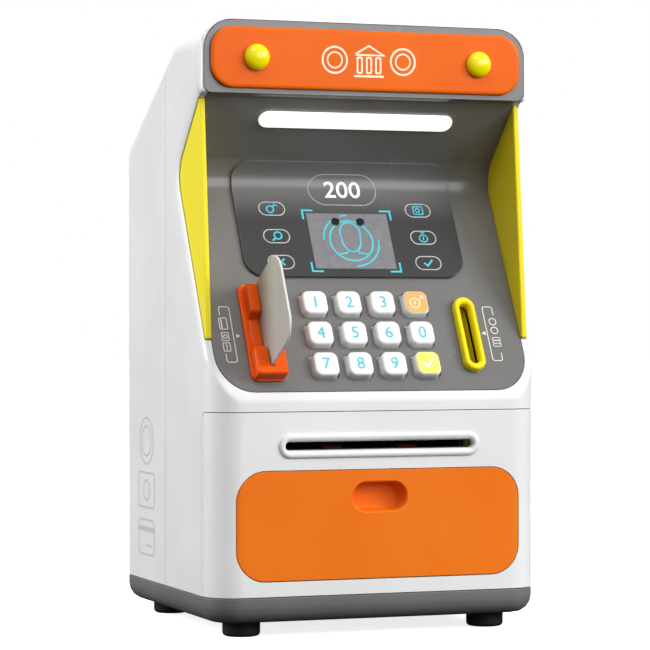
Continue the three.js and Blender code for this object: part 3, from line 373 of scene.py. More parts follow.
def build_room(tree):
    """Bright overhead, dim below, and plain white wherever the camera looks straight at it."""
    background = tree.nodes["Background"]
    output = tree.nodes["World Output"]
    coordinates = tree.nodes.new("ShaderNodeTexCoord")
    split = tree.nodes.new("ShaderNodeSeparateXYZ")
    ramp = tree.nodes.new("ShaderNodeValToRGB")
    spread = tree.nodes.new("ShaderNodeMapRange")
    spread.inputs["From Min"].default_value = -1
    for element, position, grey in zip(ramp.color_ramp.elements, (0.42, 0.62), (0.03, 0.62)):
        element.position = position
        element.color = (grey, grey, grey, 1)
    tree.links.new(coordinates.outputs["Generated"], split.inputs["Vector"])
    tree.links.new(split.outputs["Z"], spread.inputs["Value"])
    tree.links.new(spread.outputs["Result"], ramp.inputs["Fac"])
    tree.links.new(ramp.outputs["Color"], background.inputs["Color"])
    white = tree.nodes.new("ShaderNodeBackground")
    rays = tree.nodes.new("ShaderNodeLightPath")
    mix = tree.nodes.new("ShaderNodeMixShader")
    tree.links.new(rays.outputs["Is Camera Ray"], mix.inputs["Fac"])
    tree.links.new(background.outputs["Background"], mix.inputs[1])
    tree.links.new(white.outputs["Background"], mix.inputs[2])
    tree.links.new(mix.outputs["Shader"], output.inputs["Surface"])
    white.inputs["Color"].default_value = (1, 1, 1, 1)


build_room(world.node_tree)


def area_lamp(name, place, target, width, height, power):
    """A soft rectangular lamp aimed at a point; places are in metres."""
    data = bpy.data.lights.new(name, "AREA")
    data.shape = "RECTANGLE"
    data.size = width
    data.size_y = height
    data.energy = power
    lamp_object = bpy.data.objects.new(name, data)
    lamp_object.location = place
    aim = Vector(target) - Vector(place)
    lamp_object.rotation_euler = aim.to_track_quat("-Z", "Y").to_euler()
    scene.collection.objects.link(lamp_object)


toy_middle = (0, 0, 0.13)
lamps = {  # name: place, width, height, watts
    "key_lamp": ((1.2, -1.0, 0.72), 0.7, 0.6, 17),
    "high_lamp": ((-0.3, -1.0, 1.45), 0.8, 0.6, 6),
    "front_lamp": ((0.45, -1.5, 0.58), 0.8, 0.9, 6.5),
    "left_lamp": ((-1.4, 0.5, 0.65), 0.8, 1.0, 19),
    "back_lamp": ((0.3, 1.3, 0.8), 1.0, 0.8, 8),
}
for name, (place, width, height, watts) in lamps.items():
    area_lamp(name, place, toy_middle, width, height, watts)
print("lamps:", len(lamps), "with", sum(row[3] for row in lamps.values()), "watts in all")

# %% [markdown]
# ## Materials
# Every finish is built from the same idea: a base colour that drifts very slightly, as pigment
# does in a moulding, a roughness that is never quite even, and a fine bump from the texture of the
# steel mould. What changes from piece to piece is how strong each one is.

# %% Material tools
def hexed(code):
    """Turns a web colour into the linear red, green and blue that shaders expect."""
    parts = [int(code[i:i + 2], 16) / 255 for i in (0, 2, 4)]
    linear = [c / 12.92 if c <= 0.04045 else ((c + 0.055) / 1.055) ** 2.4 for c in parts]
    return (*linear, 1)


def start_material(name, roughness, metallic=0.0, coat=0.0, coat_roughness=0.1, specular=0.5):
    material = bpy.data.materials.new(name)
    material.use_nodes = True
    tree = material.node_tree
    shader = tree.nodes["Principled BSDF"]
    shader.inputs["Roughness"].default_value = roughness
    shader.inputs["Metallic"].default_value = metallic
    shader.inputs["Coat Weight"].default_value = coat
    shader.inputs["Coat Roughness"].default_value = coat_roughness
    shader.inputs["Specular IOR Level"].default_value = specular
    return material, tree, shader


def noise_node(tree, scale, detail=3.0, roughness=0.5):
    coordinates = tree.nodes.new("ShaderNodeTexCoord")
    noise = tree.nodes.new("ShaderNodeTexNoise")
    noise.inputs["Scale"].default_value = scale
    noise.inputs["Detail"].default_value = detail
    noise.inputs["Roughness"].default_value = roughness
    tree.links.new(coordinates.outputs["Object"], noise.inputs["Vector"])
    return noise.outputs["Fac"]


def drift_colour(tree, shader, dark, light, scale=22.0):
    """Lets the base colour wander between two near shades."""
    ramp = tree.nodes.new("ShaderNodeValToRGB")
    ramp.color_ramp.elements[0].position = 0.3
    ramp.color_ramp.elements[1].position = 0.7
    ramp.color_ramp.elements[0].color = hexed(dark)
    ramp.color_ramp.elements[1].color = hexed(light)
    tree.links.new(noise_node(tree, scale), ramp.inputs["Fac"])
    tree.links.new(ramp.outputs["Color"], shader.inputs["Base Color"])
    return ramp


def drift_roughness(tree, shader, low, high, scale=60.0):
    spread = tree.nodes.new("ShaderNodeMapRange")
    spread.inputs["From Min"].default_value = 0.3
    spread.inputs["From Max"].default_value = 0.7
    spread.inputs["To Min"].default_value = low
    spread.inputs["To Max"].default_value = high
    tree.links.new(noise_node(tree, scale, 5), spread.inputs["Value"])
    tree.links.new(spread.outputs["Result"], shader.inputs["Roughness"])


def mould_texture(tree, shader, height, scale, strength=0.5):
    """Fine bump left by the etched steel of the mould. Height is in metres."""
    bump = tree.nodes.new("ShaderNodeBump")
    bump.inputs["Strength"].default_value = strength
    bump.inputs["Distance"].default_value = height
    tree.links.new(noise_node(tree, scale, 2), bump.inputs["Height"])
    tree.links.new(bump.outputs["Normal"], shader.inputs["Normal"])


def moulded_plastic(name, dark, light, rough, grain=0.00002, grain_scale=1800.0, coat=0.0,
                    specular=0.5):
    material, tree, shader = start_material(name, rough[0], coat=coat, specular=specular)
    drift_colour(tree, shader, dark, light)
    drift_roughness(tree, shader, *rough)
    mould_texture(tree, shader, grain, grain_scale)
    return material


print("half-grey as light:", round(hexed("808080")[0], 3))

# %% [markdown]
# The white shell is a fine satin ABS. The orange and yellow mouldings are about as smooth, but they
# reflect less, so that white highlights do not wash out their strong colours. They also let a
# little light travel inside them, which keeps their shaded sides warm instead of grey. The dark
# face and the screen are half gloss, and the screen's colour turns paler towards its top, where it
# bends, as a painted reflection.

# %% Plastics
def glowing_plastic(name, dark, light, rough, inner, depth=0.002, coat=0.0):
    """Plastic with a little light inside it; inner is how far each colour travels, by share."""
    material = moulded_plastic(name, dark, light, rough, coat=coat, specular=0.14)
    shader = material.node_tree.nodes["Principled BSDF"]
    shader.inputs["Subsurface Weight"].default_value = 0.12
    shader.inputs["Subsurface Radius"].default_value = inner
    shader.inputs["Subsurface Scale"].default_value = depth
    return material


def fade_upwards(material, heights, code):
    """Blends the colour towards a second one between two heights, in metres."""
    tree = material.node_tree
    shader = tree.nodes["Principled BSDF"]
    first = shader.inputs["Base Color"].links[0].from_socket
    coordinates = tree.nodes.new("ShaderNodeTexCoord")
    split = tree.nodes.new("ShaderNodeSeparateXYZ")
    rise = tree.nodes.new("ShaderNodeMapRange")
    rise.interpolation_type = "SMOOTHSTEP"
    rise.inputs["From Min"].default_value, rise.inputs["From Max"].default_value = heights
    blend = tree.nodes.new("ShaderNodeMix")
    blend.data_type = "RGBA"
    blend.inputs["B"].default_value = hexed(code)
    tree.links.new(coordinates.outputs["Object"], split.inputs["Vector"])
    tree.links.new(split.outputs["Z"], rise.inputs["Value"])
    tree.links.new(rise.outputs["Result"], blend.inputs["Factor"])
    tree.links.new(first, blend.inputs["A"])
    tree.links.new(blend.outputs["Result"], shader.inputs["Base Color"])


white_shell = moulded_plastic("white_shell", "e3e3e3", "ebebeb", (0.30, 0.42))
face_grey = moulded_plastic("face_grey", "6e6d6c", "747372", (0.20, 0.28), 0.00001, 900.0, 0.25)
banner_orange = glowing_plastic("banner_orange", "ec6200", "f26c04", (0.26, 0.34), (1, 0.3, 0.05))
drawer_orange = glowing_plastic("drawer_orange", "ee7412", "f37c1c", (0.30, 0.40), (1, 0.35, 0.08))
reader_orange = glowing_plastic("reader_orange", "ee5404", "f76010", (0.24, 0.34), (1, 0.25, 0.04))
wing_yellow = glowing_plastic("wing_yellow", "f0dc20", "f6e62a", (0.28, 0.38), (1, 0.8, 0.1))
lamp_yellow = glowing_plastic("lamp_yellow", "f4e000", "fbee10", (0.10, 0.18), (1, 0.9, 0.1),
                              0.003, 0.6)
coin_yellow = glowing_plastic("coin_yellow", "f3dc10", "f9e81c", (0.26, 0.36), (1, 0.7, 0.05))
base_grey = moulded_plastic("base_grey", "666464", "706e6e", (0.42, 0.56), 0.00006, 1100.0)
screen_dark = moulded_plastic("screen_dark", "2c2b2c", "323132", (0.26, 0.32), 0.000004, 500.0,
                              specular=0.7)
# Painted reflection: the screen's colour is blended paler towards its top, where the bend mirrors
# light.
fade_upwards(screen_dark, (0.163, 0.179), "6a696a")
sensor_black = moulded_plastic("sensor_black", "030303", "060606", (0.2, 0.28), 0.000004, 500.0)
key_white = glowing_plastic("key_white", "ececec", "f4f4f4", (0.28, 0.38), (1, 1, 1), 0.001)
key_cream = glowing_plastic("key_cream", "ecb266", "f2bd74", (0.28, 0.38), (1, 0.7, 0.4), 0.001)
key_yellow = glowing_plastic("key_yellow", "f0ef6e", "f5f47e", (0.28, 0.38), (1, 1, 0.5), 0.001)
card_white = moulded_plastic("card_white", "dddbd6", "e4e2de", (0.30, 0.42), 0.00001, 2600.0)
# Painted shade: the card's own white, painted down to grey for its flat faces.
card_painted_shade = moulded_plastic("card_painted_shade", "a9a7a2", "b2b0ab", (0.34, 0.46), 0.00001, 2600.0)
black_plastic = moulded_plastic("black_plastic", "151516", "1d1d1e", (0.4, 0.55))
gear_white = moulded_plastic("gear_white", "e9e9e2", "f1f1ec", (0.35, 0.5))
print("materials so far, with those of the frame:", len(bpy.data.materials))


# %% [markdown]
# Rubber is rougher than plastic, with a deeper bump and a weaker shine. Bare metal needs the
# metallic switch and a roughness that changes over short distances. Print is a thin layer of ink
# with a dull finish; the cyan and white inks also give off a faint painted glow, though print is
# no lamp. The light bar is a frosted strip that gives off light of its own.

# %% Rubber, metal, print and light
def rubber(name, dark, light):
    return moulded_plastic(name, dark, light, (0.62, 0.8), 0.00008, 1500.0, specular=0.3)


def bare_metal(name, dark, light, rough):
    material, tree, shader = start_material(name, rough[0], metallic=1.0)
    drift_colour(tree, shader, dark, light, 90.0)
    drift_roughness(tree, shader, *rough, 400.0)
    mould_texture(tree, shader, 0.00001, 3000.0)
    return material


def ink(name, dark, light, painted_glow=0.0):
    material, tree, shader = start_material(name, 0.45)
    ramp = drift_colour(tree, shader, dark, light, 300.0)
    # A painted glow: the ink gives off a little light of its own, though print is no lamp.
    if painted_glow:
        tree.links.new(ramp.outputs["Color"], shader.inputs["Emission Color"])
        shader.inputs["Emission Strength"].default_value = painted_glow
    drift_roughness(tree, shader, 0.38, 0.5, 700.0)
    return material


foot_rubber = rubber("foot_rubber", "101010", "181818")
mat_rubber = rubber("mat_rubber", "a9acae", "b4b7b9")
roller_rubber = rubber("roller_rubber", "8c3a28", "a04733")
pinch_rubber = rubber("pinch_rubber", "202124", "2a2b2e")
steel = bare_metal("steel", "a4a7ab", "bcbfc3", (0.26, 0.4))
motor_can = bare_metal("motor_can", "989ca0", "b0b4b8", (0.3, 0.45))
battery_wrap = bare_metal("battery_wrap", "a88f2a", "c2a83a", (0.3, 0.4))
circuit_green = moulded_plastic("circuit_green", "23583a", "2c6844", (0.3, 0.45), 0.00005, 700.0)
cream_ink = ink("cream_ink", "fbeacb", "fff2d8")
# The cyan and white inks carry a faint painted glow.
cyan_ink = ink("cyan_ink", "38bccb", "4cc8d6", 0.1)
white_ink = ink("white_ink", "eceeee", "f8fafa", 0.15)
silver_ink = ink("silver_ink", "b4b5b6", "c4c5c6")
label_ink = ink("label_ink", "d8d6d0", "e4e2dc")
grey_ink = ink("grey_ink", "c0c1c2", "c8c9ca")
panel_ink = ink("panel_ink", "76767a", "808084")


def frosted_light():
    material, tree, shader = start_material("light_diffuser", 0.5)
    ramp = drift_colour(tree, shader, "fbfbf6", "ffffff", 120.0)
    tree.links.new(ramp.outputs["Color"], shader.inputs["Emission Color"])
    shader.inputs["Emission Strength"].default_value = 0.9
    mould_texture(tree, shader, 0.00002, 900.0)
    return material


light_diffuser = frosted_light()
print("materials now:", len(bpy.data.materials))

# %% [markdown]
# ## The floor
# A pale sheet larger than the view, which does not show in the toy's diffuse and glossy light.

# %% Floor
def make_floor():
    bm = bmesh.new()
    size = 6.0
    corners = [(-size, -size), (size, -size), (size, size), (-size, size)]
    bm.faces.new([bm.verts.new((x, y, 0)) for x, y in corners])
    floor = new_object("floor", bm)
    material, tree, shader = start_material("floor_paper", 0.8, specular=0.0)
    ramp = drift_colour(tree, shader, "f6f6f6", "fafafa", 1.5)
    tree.links.new(ramp.outputs["Color"], shader.inputs["Emission Color"])
    shader.inputs["Emission Strength"].default_value = 0.85
    floor.data.materials.append(material)
    floor.visible_diffuse = False
    floor.visible_glossy = False


make_floor()

# %% [markdown]
# ## The shell's rounded block
# The toy's white body is one soft block before it is split. At each station across its width the
# side outline shrinks by its own amount on every edge: a wide round at the front corners, a tighter
# one behind, and a narrow, deep round along the recess rim. Lofting those outlines gives all the
# rounded edges in one clean grid, which no bevel could do at such different sizes.

# %% Body loft
rim_width, rim_depth = 1.3, 5.2
front_round, rear_round, top_round = 13.0, 8.0, 14.0


def round_depth(from_side, across, deep):
    """How far a rounded edge has fallen away at a distance from the side face."""
    if from_side >= across:
        return 0.0
    share = (across - from_side) / across
    return deep * (1 - math.sqrt(max(1 - share * share, 0)))


def stations():
    """Distances from the side face, dense where the outline curves fastest."""
    wide = [front_round * (1 - math.sin(math.radians(a))) for a in range(0, 75, 7)]
    narrow = [rim_width * (1 - math.sin(math.radians(a))) for a in range(0, 91, 15)]
    return sorted(set(round(v, 4) for v in [top_round] + wide + narrow), reverse=True)


def body_ring(from_side, shell, face, bottom):
    """The side outline at one station: each edge moves in by its own rounding."""
    rim = round_depth(from_side, rim_width, rim_depth)
    crown, rear, nose = [round_depth(from_side, max(size - shell, 1), max(size - shell, 1))
                         for size in (top_round, rear_round, front_round)]
    face_inset = face + (rim if shell == 0 else 0)
    distances = [bottom, shell + rear, shell + crown, shell + crown, face_inset, face_inset,
                 face_inset, face_inset, shell + nose]
    return outline(inset(side_corners, distances), 10)


def body_loft(name, shell=0.0, face=0.0, bottom=0.0):
    half = half_width - shell
    places = stations()
    spots = [(-half + e, e) for e in reversed(places)] + [(half - e, e) for e in places]
    rings = [[along_x(p.x, p.y, x) for p in body_ring(e, shell, face, bottom)] for x, e in spots]
    return loft(name, rings)


def hollow_body(name, face):
    return combine(body_loft(name), [body_loft("inside", wall, face, -6)])


def slab(low_y, high_y, low_z=-5.0, high_z=400.0):
    points = rounded_rect(0, (low_y + high_y) / 2, 400, high_y - low_y, 0.01, 1)
    return prism("slab", points, along_z, low_z, high_z)


def region_x(name, corners, low, high):
    return prism(name, outline(corners, 6), along_x, low, high)


print("stations from side to middle:", len(stations()))

# %% [markdown]
# ## Splitting the shell
# The real body is three mouldings that meet at fine seams: a rear half, a front half and a small
# front panel under the deck. Each one starts as the same hollow block, so the surfaces line up
# across every seam, and then everything outside its own space is cut away.

# %% Seams and pockets
seam = bend[0] + 12.5
lower_seam = front + 12.4
lower_top = 88.4
plate = 2.2
plate_half = half_width - 3.9
plate_foot_z = 96.5
bezel_half = half_width - 1.5
bezel_low, bezel_high = lip[1] + gap, top - 2.3


def lower_space(clearance):
    edge = lower_seam + clearance
    high = lower_top + clearance
    return region_x("lower_space", [corner(front - 40, -20), corner(edge, -20),
                                    corner(edge, high, 3), corner(front - 40, high)],
                    -half_width - 5, half_width + 5)


def deck_prism(name, points, low, high):
    """A straight block standing on the deck; points are (x, s), low and high are heights."""
    return loft(name, [[on_face(p.x, p.y, h) for p in points] for h in (low, high)])


def face_ring(shift, edge=0.0):
    """The side outline moved inwards on its face edges only."""
    return outline(inset(side_corners, [edge, edge, edge, edge] + [shift] * 4 + [edge]), 14)


def plate_band(clearance):
    half = plate_half + clearance
    band = prism("band", face_ring(-clearance), along_x, -half, half)
    core = prism("core", face_ring(plate + clearance, -8), along_x, -half - 5, half + 5)
    foot = plate_foot_z - clearance
    window = prism("window", outline([
        corner(-half - 5, foot), corner(half + 5, foot),
        corner(half + 5, bezel_low + 1.5), corner(-half - 5, bezel_low + 1.5)], 4),
        along_y, front - 5, seam)
    combine(band, [core])
    combine(band, [window], "INTERSECT")
    shape = [corner(-half, foot - 0.01, 15), corner(half, foot - 0.01, 15),
             corner(half, 400), corner(-half, 400)]
    return combine(band, [prism("foot", outline(shape, 12), along_y, front - 5, seam)], "INTERSECT")


def bezel_block(clearance):
    half = bezel_half + clearance
    shape = [corner(-half, bezel_low - clearance, 3), corner(half, bezel_low - clearance, 3),
             corner(half, bezel_high + clearance, 12), corner(-half, bezel_high + clearance, 12)]
    return prism("bezel", outline(shape, 12), along_y, hood_front - 2 * clearance,
                 hood_front + plate + clearance)


wing_outer = half_width - 1.3
wing_inner = wing_outer - 2.3
wing_foot_z, wing_top_z = 117, top - 32.7


def wing_block(side, clearance):
    """A wing is straight in front and follows the plate's surface behind."""
    rear = bend[0] + 7.5
    shape = [corner(front + 11 - clearance, wing_foot_z - clearance, 0.8),
             corner(rear, wing_foot_z - clearance),
             corner(rear, wing_top_z + clearance),
             corner(front + 20 - clearance, wing_top_z + clearance, 0.8)]
    ends = sorted((side * (wing_inner - clearance), side * (wing_outer + clearance)))
    block = prism("wing", outline(shape, 6), along_x, *ends)
    rear_block = prism("behind", face_ring(3.5 + clearance, -8), along_x, ends[0] - 3, ends[1] + 3)
    return combine(block, [rear_block])


print(f"shell seam at y {seam:.1f} mm")

# %% [markdown]
# ## The rear shell
# A deep white tub with a speaker grille, a battery cover opening, a slot for the power switch and
# four screw wells. Real toys always carry their screws and batteries on the side nobody looks at.

# %% Rear shell
face_wall = plate + gap + 1.7
screw_places = [(side * (half_width - 11), z) for side in (-1, 1) for z in (35, 160)]
screw_well, well_wall, screw_hole = 3.2, 1.0, 1.6
cover_z, switch_z, grille_z = 98.5, 48, 150


def through_back(points):
    return prism("hole", points, along_y, back - 10, back + 5)


def make_rear_shell():
    shell = hollow_body("rear_shell_moulding", face_wall)
    cutters = [slab(front - 30, seam + gap / 2),
               through_back(rounded_rect(0, cover_z, 56, 51, 0.8)),
               through_back(rounded_rect(41.5, switch_z, 11.6, 4.8, 0.6))]
    for row in range(-2, 3):
        cutters.append(through_back(stadium(0, grille_z + row * 5, 24, 2.2, 5)))
    for x, z in screw_places:
        cutters.append(through_back(circle(x, z, screw_well)))
    combine(shell, cutters)
    return place_piece(soften(shell, 0.3), "housing", white_shell, "rear_shell")


def make_screw_well(x, z):
    """The tube a screw head sits in, seen from behind as a deep round well."""
    mouth, floor_y, bottom = back - 1.2, seam + 3.2, seam + 1.0
    outside = screw_well + well_wall
    steps = [(outside, mouth), (outside, bottom), (screw_hole, bottom), (screw_hole, floor_y),
             (screw_well, floor_y), (screw_well, mouth)]
    return loft("well", [along_ring(circle(x, z, radius), y) for radius, y in steps], False)


rear_shell = make_rear_shell()
for i, (x, z) in enumerate(screw_places):
    well = make_screw_well(x, z)
    well.name = f"screw_well_{i + 1}"
    place_piece(smooth(well), "housing", white_shell)
print("rear shell faces:", len(rear_shell.data.polygons))

# %% [markdown]
# ## The front shell and the lower panel
# The front half keeps only the frame around the face: everything the dark plate, its bezel and the
# yellow wings need is cut out with a fine gap. The lower panel is the same block below the seam,
# with a raised ring round the note slot and a big rounded opening for the drawer.

# %% Front shell and lower front
drawer_half, drawer_high, drawer_z = half_width - 10.2, 42.9, 43.95
note_z = 75.1
window_low, window_high = -22.2, 37.5


def drawer_shape(clearance):
    return rounded_rect(0, drawer_z, 2 * (drawer_half + clearance), drawer_high + 2 * clearance,
                        12 + clearance, 12)


def make_front_shell():
    shell = hollow_body("front_shell_moulding", face_wall)
    window = rounded_rect(0, (window_low + window_high) / 2, 2 * (plate_half - 9),
                          window_high - window_low, 4)
    combine(shell, [deck_prism("window", window, -face_wall - 4, 3)])
    combine(shell, [slab(seam - gap / 2, back + 30), lower_space(gap), plate_band(gap),
                    bezel_block(gap), wing_block(-1, gap), wing_block(1, gap)])
    return place_piece(soften(shell, 0.3), "housing", white_shell, "front_shell")


def make_lower_front():
    panel = hollow_body("lower_front_moulding", face_wall)
    combine(panel, [lower_space(0)], "INTERSECT")
    combine(panel, [prism("drawer", drawer_shape(gap), along_y, front - 5, front + 20),
                    prism("slot", stadium(0, note_z, 84, 8.6), along_y, front - 5, front + 5)])
    return place_piece(soften(panel, 0.3), "housing", white_shell, "lower_front")


def make_note_ring():
    """A soft raised lip round the slot, lofted from nested stadiums."""
    def ring(width, height, y):
        return along_ring(stadium(0, note_z, width, height, 12), y)
    steps = [(84.4, 9.0, 2.2), (84.8, 9.5, 0.05), (84.8, 9.5, -0.35), (84.3, 9.0, -0.8),
             (83.2, 7.9, -1.12), (81.9, 6.6, -1.2), (80.6, 5.0, -1.0), (79.9, 3.9, -0.5),
             (79.6, 3.3, 0.2), (79.6, 3.3, 2.2)]
    lip_ring = loft("note_ring_moulding", [ring(w, h, front + y) for w, h, y in steps], False)
    return place_piece(smooth(lip_ring, 60), "housing", white_shell)


front_shell = make_front_shell()
lower_front = make_lower_front()
make_note_ring()
print("front shell faces:", len(front_shell.data.polygons),
      "lower front faces:", len(lower_front.data.polygons))

# %% [markdown]
# ## The dark face plate
# One glossy moulding runs up the keypad deck, round the bend and under the hood, then turns up
# behind the banner. It is the most visible mirror on the toy, so its bend is finely divided and its
# edge is softened. The key holes, card slot and coin slot are cut through it.

# %% Face plate
key_pitch_x, key_pitch_s = 14.45, 13.75
keypad_x, keypad_s = 0.3, -1.25
key_names = [["1", "2", "3", "coin"], ["4", "5", "6", "0"], ["7", "8", "9", "enter"]]
key_places = [(name, keypad_x + (column - 1.5) * key_pitch_x, keypad_s + (1 - row) * key_pitch_s)
              for row, names in enumerate(key_names) for column, name in enumerate(names)]
reader_x, coin_x, coin_s, card_s = -45.3, 43.0, -1.3, 1.4


def make_face_plate():
    plate_piece = plate_band(0)
    plate_piece.name = "face_plate_moulding"
    combine(plate_piece, [bezel_block(0)], "UNION")
    holes = [deck_prism("hole", rounded_rect(x, s, 12.2, 12.2, 3.4, 5), -5, 3)
             for _, x, s in key_places]
    holes.append(deck_prism("hole", rounded_rect(reader_x, card_s, 2.2, 38.8, 0.5, 3), -5, 3))
    holes.append(deck_prism("hole", stadium(coin_x, coin_s, 4.3, 27, 6), -5, 3))
    combine(plate_piece, holes)
    return place_piece(soften(plate_piece, 0.35, 3), "housing", face_grey, "face_plate")


face_plate = make_face_plate()
print("face plate faces:", len(face_plate.data.polygons))

# %% [markdown]
# ## Wings, banner, lamps and light
# The yellow wings are thin curved fins that frame the recess. The banner is a fat orange lozenge
# with fully rounded edges, made from nested outlines so that its rim rolls over smoothly. Two round
# lamps sit on it, and a frosted light bar glows under the hood.

# %% Hood pieces
for side, word in ((-1, "left"), (1, "right")):
    wing = wing_block(side, 0)
    wing.name = f"wing_{word}_moulding"
    place_piece(soften(wing, 0.55, 4), "housing", wing_yellow, f"wing_{word}")

banner_z = top - 17.1
banner_back = hood_front - gap
banner_thick = 1.72
lamp_x, lamp_radius, lamp_dome = 47.5, 5.25, 3.0


def make_banner():
    rolls = [(0.9, 0.0), (0.15, 0.12), (0.0, 0.45), (0.0, 0.9), (0.16, 1.28), (0.5, 1.55),
             (1.0, 1.68), (1.7, banner_thick)]
    rings = [along_ring(rounded_rect(0, banner_z, 132 - 2 * e, 24.2 - 2 * e, 9 - e, 12),
                        banner_back - rise) for e, rise in rolls]
    banner = smooth(loft("banner_moulding", rings), 50)
    place_piece(banner, "housing", banner_orange, "banner")


def make_lamp(side, word):
    """A small dome, turned about its own axis like a lathe would."""
    def ring(radius, y):
        return along_ring(circle(side * lamp_x, banner_z, radius, 48), y)
    foot = banner_back - 2.0
    shoulder = foot - 0.5
    rings = [ring(lamp_radius, foot), ring(lamp_radius, shoulder)]
    for step in range(1, 14):
        angle = math.radians(6.6 * step)
        rings.append(ring(lamp_radius * math.cos(angle), shoulder - lamp_dome * math.sin(angle)))
    dome = loft(f"lamp_{word}_lens", rings)
    return place_piece(smooth(dome, 50), "housing", lamp_yellow, f"lamp_{word}")


def make_light_bar():
    middle_y = front + 26.8
    origin = Vector((0, middle_y, lip[0] + lip[1] - middle_y))
    along = Vector((0, 1, -1)).normalized()
    out = Vector((0, -1, -1)).normalized()
    rings = []
    for edge, rise in ((0.0, 0.3), (0.0, 0.9), (0.18, 1.25), (0.6, 1.45), (1.2, 1.5)):
        points = stadium(0, 0, 83.4 - 2 * edge, 8 - 2 * edge, 10)
        rings.append([origin + Vector((p.x, 0, 0)) + along * p.y + out * rise for p in points])
    return place_piece(smooth(loft("light_bar_lens", rings), 50), "housing", light_diffuser,
                       "light_bar")


make_banner()
make_lamp(-1, "left")
make_lamp(1, "right")
make_light_bar()
print(f"banner middle at z {banner_z:.1f} mm")

# %% [markdown]
# ## The screen
# A dark printed sheet that wraps over the bend. It could be a flat box bent by a modifier, but a
# stack of slices drawn straight on the face lands exactly where it should. Two black dots sit on
# it as the camera's eyes.

# %% Screen and sensors
screen_low, screen_high = s_at(141.3), bend_start_s + 0.92 * bend_length
screen_half, screen_round, screen_height = 47.5, 8.5, 1.3


def screen_section(s):
    """One slice across the screen: its ends pull in near the rounded corners."""
    from_end = min(s - screen_low, screen_high - s)
    half = screen_half - round_depth(from_end, screen_round, screen_round)
    rim = [(half, 0.3), (half, 1.05), (half - 0.1, 1.24), (half - 0.35, screen_height)]
    return [on_face(x, s, h) for x, h in rim + [(-x, h) for x, h in reversed(rim)]]


def make_screen():
    ends = [screen_round * (1 - math.cos(math.radians(a))) for a in range(0, 91, 9)]
    middle_s = (screen_low + screen_high) / 2
    span = middle_s - screen_low - screen_round
    inner = [screen_round + span * k / 16 for k in range(1, 17)]
    lower = [screen_low + d for d in ends + inner]
    upper = [screen_high - d for d in (ends + inner)[:-1]]
    return loft("screen_window_panel", [screen_section(s) for s in lower + upper[::-1]])


place_piece(smooth(make_screen(), 40), "housing", screen_dark, "screen_window")
sensor_x, sensor_z, sensor_radius = 5.4, 163.7, 1.8
for side, word in ((-1, "left"), (1, "right")):
    middle = Vector((side * sensor_x, s_at(sensor_z)))
    rings = [[on_face(*(middle + (p - middle) * k), h) for p in circle(*middle, sensor_radius, 36)]
             for k, h in ((1, 1.25), (1, 1.55), (0.94, 1.68), (0.8, 1.7))]
    dot = smooth(loft(f"sensor_{word}_dot", rings), 50)
    place_piece(dot, "housing", sensor_black, f"sensor_{word}")
print(f"screen runs from s {screen_low:.1f} to {screen_high:.1f} mm")

# %% [markdown]
# ## Keys
# Twelve soft square caps. Each one is a stack of rounded squares: a wide flange behind the plate,
# straight sides, a rolled edge and a top that dips by a tenth of a millimetre, as moulded keys do
# where the thick plastic shrinks. Two keys have a coloured top set into the white cap, which is a
# second material on the faces near the top.

# %% Key caps
key_height = 3.65
key_inlays = {"coin": key_cream, "enter": key_yellow}


def make_key(name, x, s):
    steps = [(13.2, 3.0, -3.5), (13.2, 3.0, -2.5), (10.7, 2.8, -2.5), (10.5, 2.8, 1.4),
             (10.4, 2.8, 2.5), (10.2, 2.75, 2.95), (9.85, 2.65, 3.3), (9.4, 2.5, 3.54),
             (8.9, 2.3, 3.63), (8.0, 2.0, key_height), (5.0, 1.4, 3.59), (1.0, 0.4, 3.55)]
    rings = [[on_face(p.x, p.y, h) for p in rounded_rect(x, s, size, size, radius, 7)]
             for size, radius, h in steps]
    cap = place_piece(smooth(loft(f"key_{name}_cap", rings), 40), f"key_{name}", key_white,
                      f"key_{name}")
    if name in key_inlays:
        cap.data.materials.append(key_inlays[name])
        for face in cap.data.polygons:
            height = (face.center / MM - on_face(x, s)).dot(out_deck)
            face.material_index = int(height > key_height - 0.2)
    return cap


for name, x, s in key_places:
    make_key(name, x, s)
print("keys:", len(key_places))

# %% [markdown]
# ## Card reader and card
# The reader is an orange block with a saddle in the middle, so that fingers can reach the card. Its
# profile is drawn from the side and lofted across, shrinking at both ends to round the cheeks. The
# card is a thin white sheet with large corners: its flat faces are painted a pale grey as painted
# shade, and its rounded edge is white.

# %% Card reader
reader_foot = 0.4


def across_deck(name, profile_at, places):
    """Lofts a side profile, in (s, h), across the deck; profile_at gives it for an edge inset."""
    rings = [[on_face(x, p.x, p.y) for p in profile_at(e)] for x, e in places]
    return loft(name, rings)


def reader_profile(edge):
    """The block from the side, with a saddle that is steep above and gentle below."""
    half, high = 19.3 - edge, 6.8 - edge
    low = 2.2 - edge * 0.5
    saddle_low, saddle_high = -6.4, 5.2
    return outline([corner(-half, reader_foot), corner(half, reader_foot), corner(half, high, 1.2),
                    corner(saddle_high + 1.6, high, 1.2), corner(saddle_high, low, 0.7),
                    corner(saddle_low, low, 1.2), corner(saddle_low - 3.2, high, 2.0),
                    corner(-half, high, 1.2)], 6)


def cheek_profile(edge):
    """The wide lower cheek, which runs out to the end of the flange."""
    low, high, height = -20.9 + edge, -8.6 - edge, 6.9 - edge
    return outline([corner(low, reader_foot), corner(high, reader_foot),
                    corner(high, height, 2.0), corner(low, height, 1.4)], 6)


def edge_places(low, high, rolls):
    return ([(low + e, r) for e, r in rolls] + [(high - e, r) for e, r in reversed(rolls)])


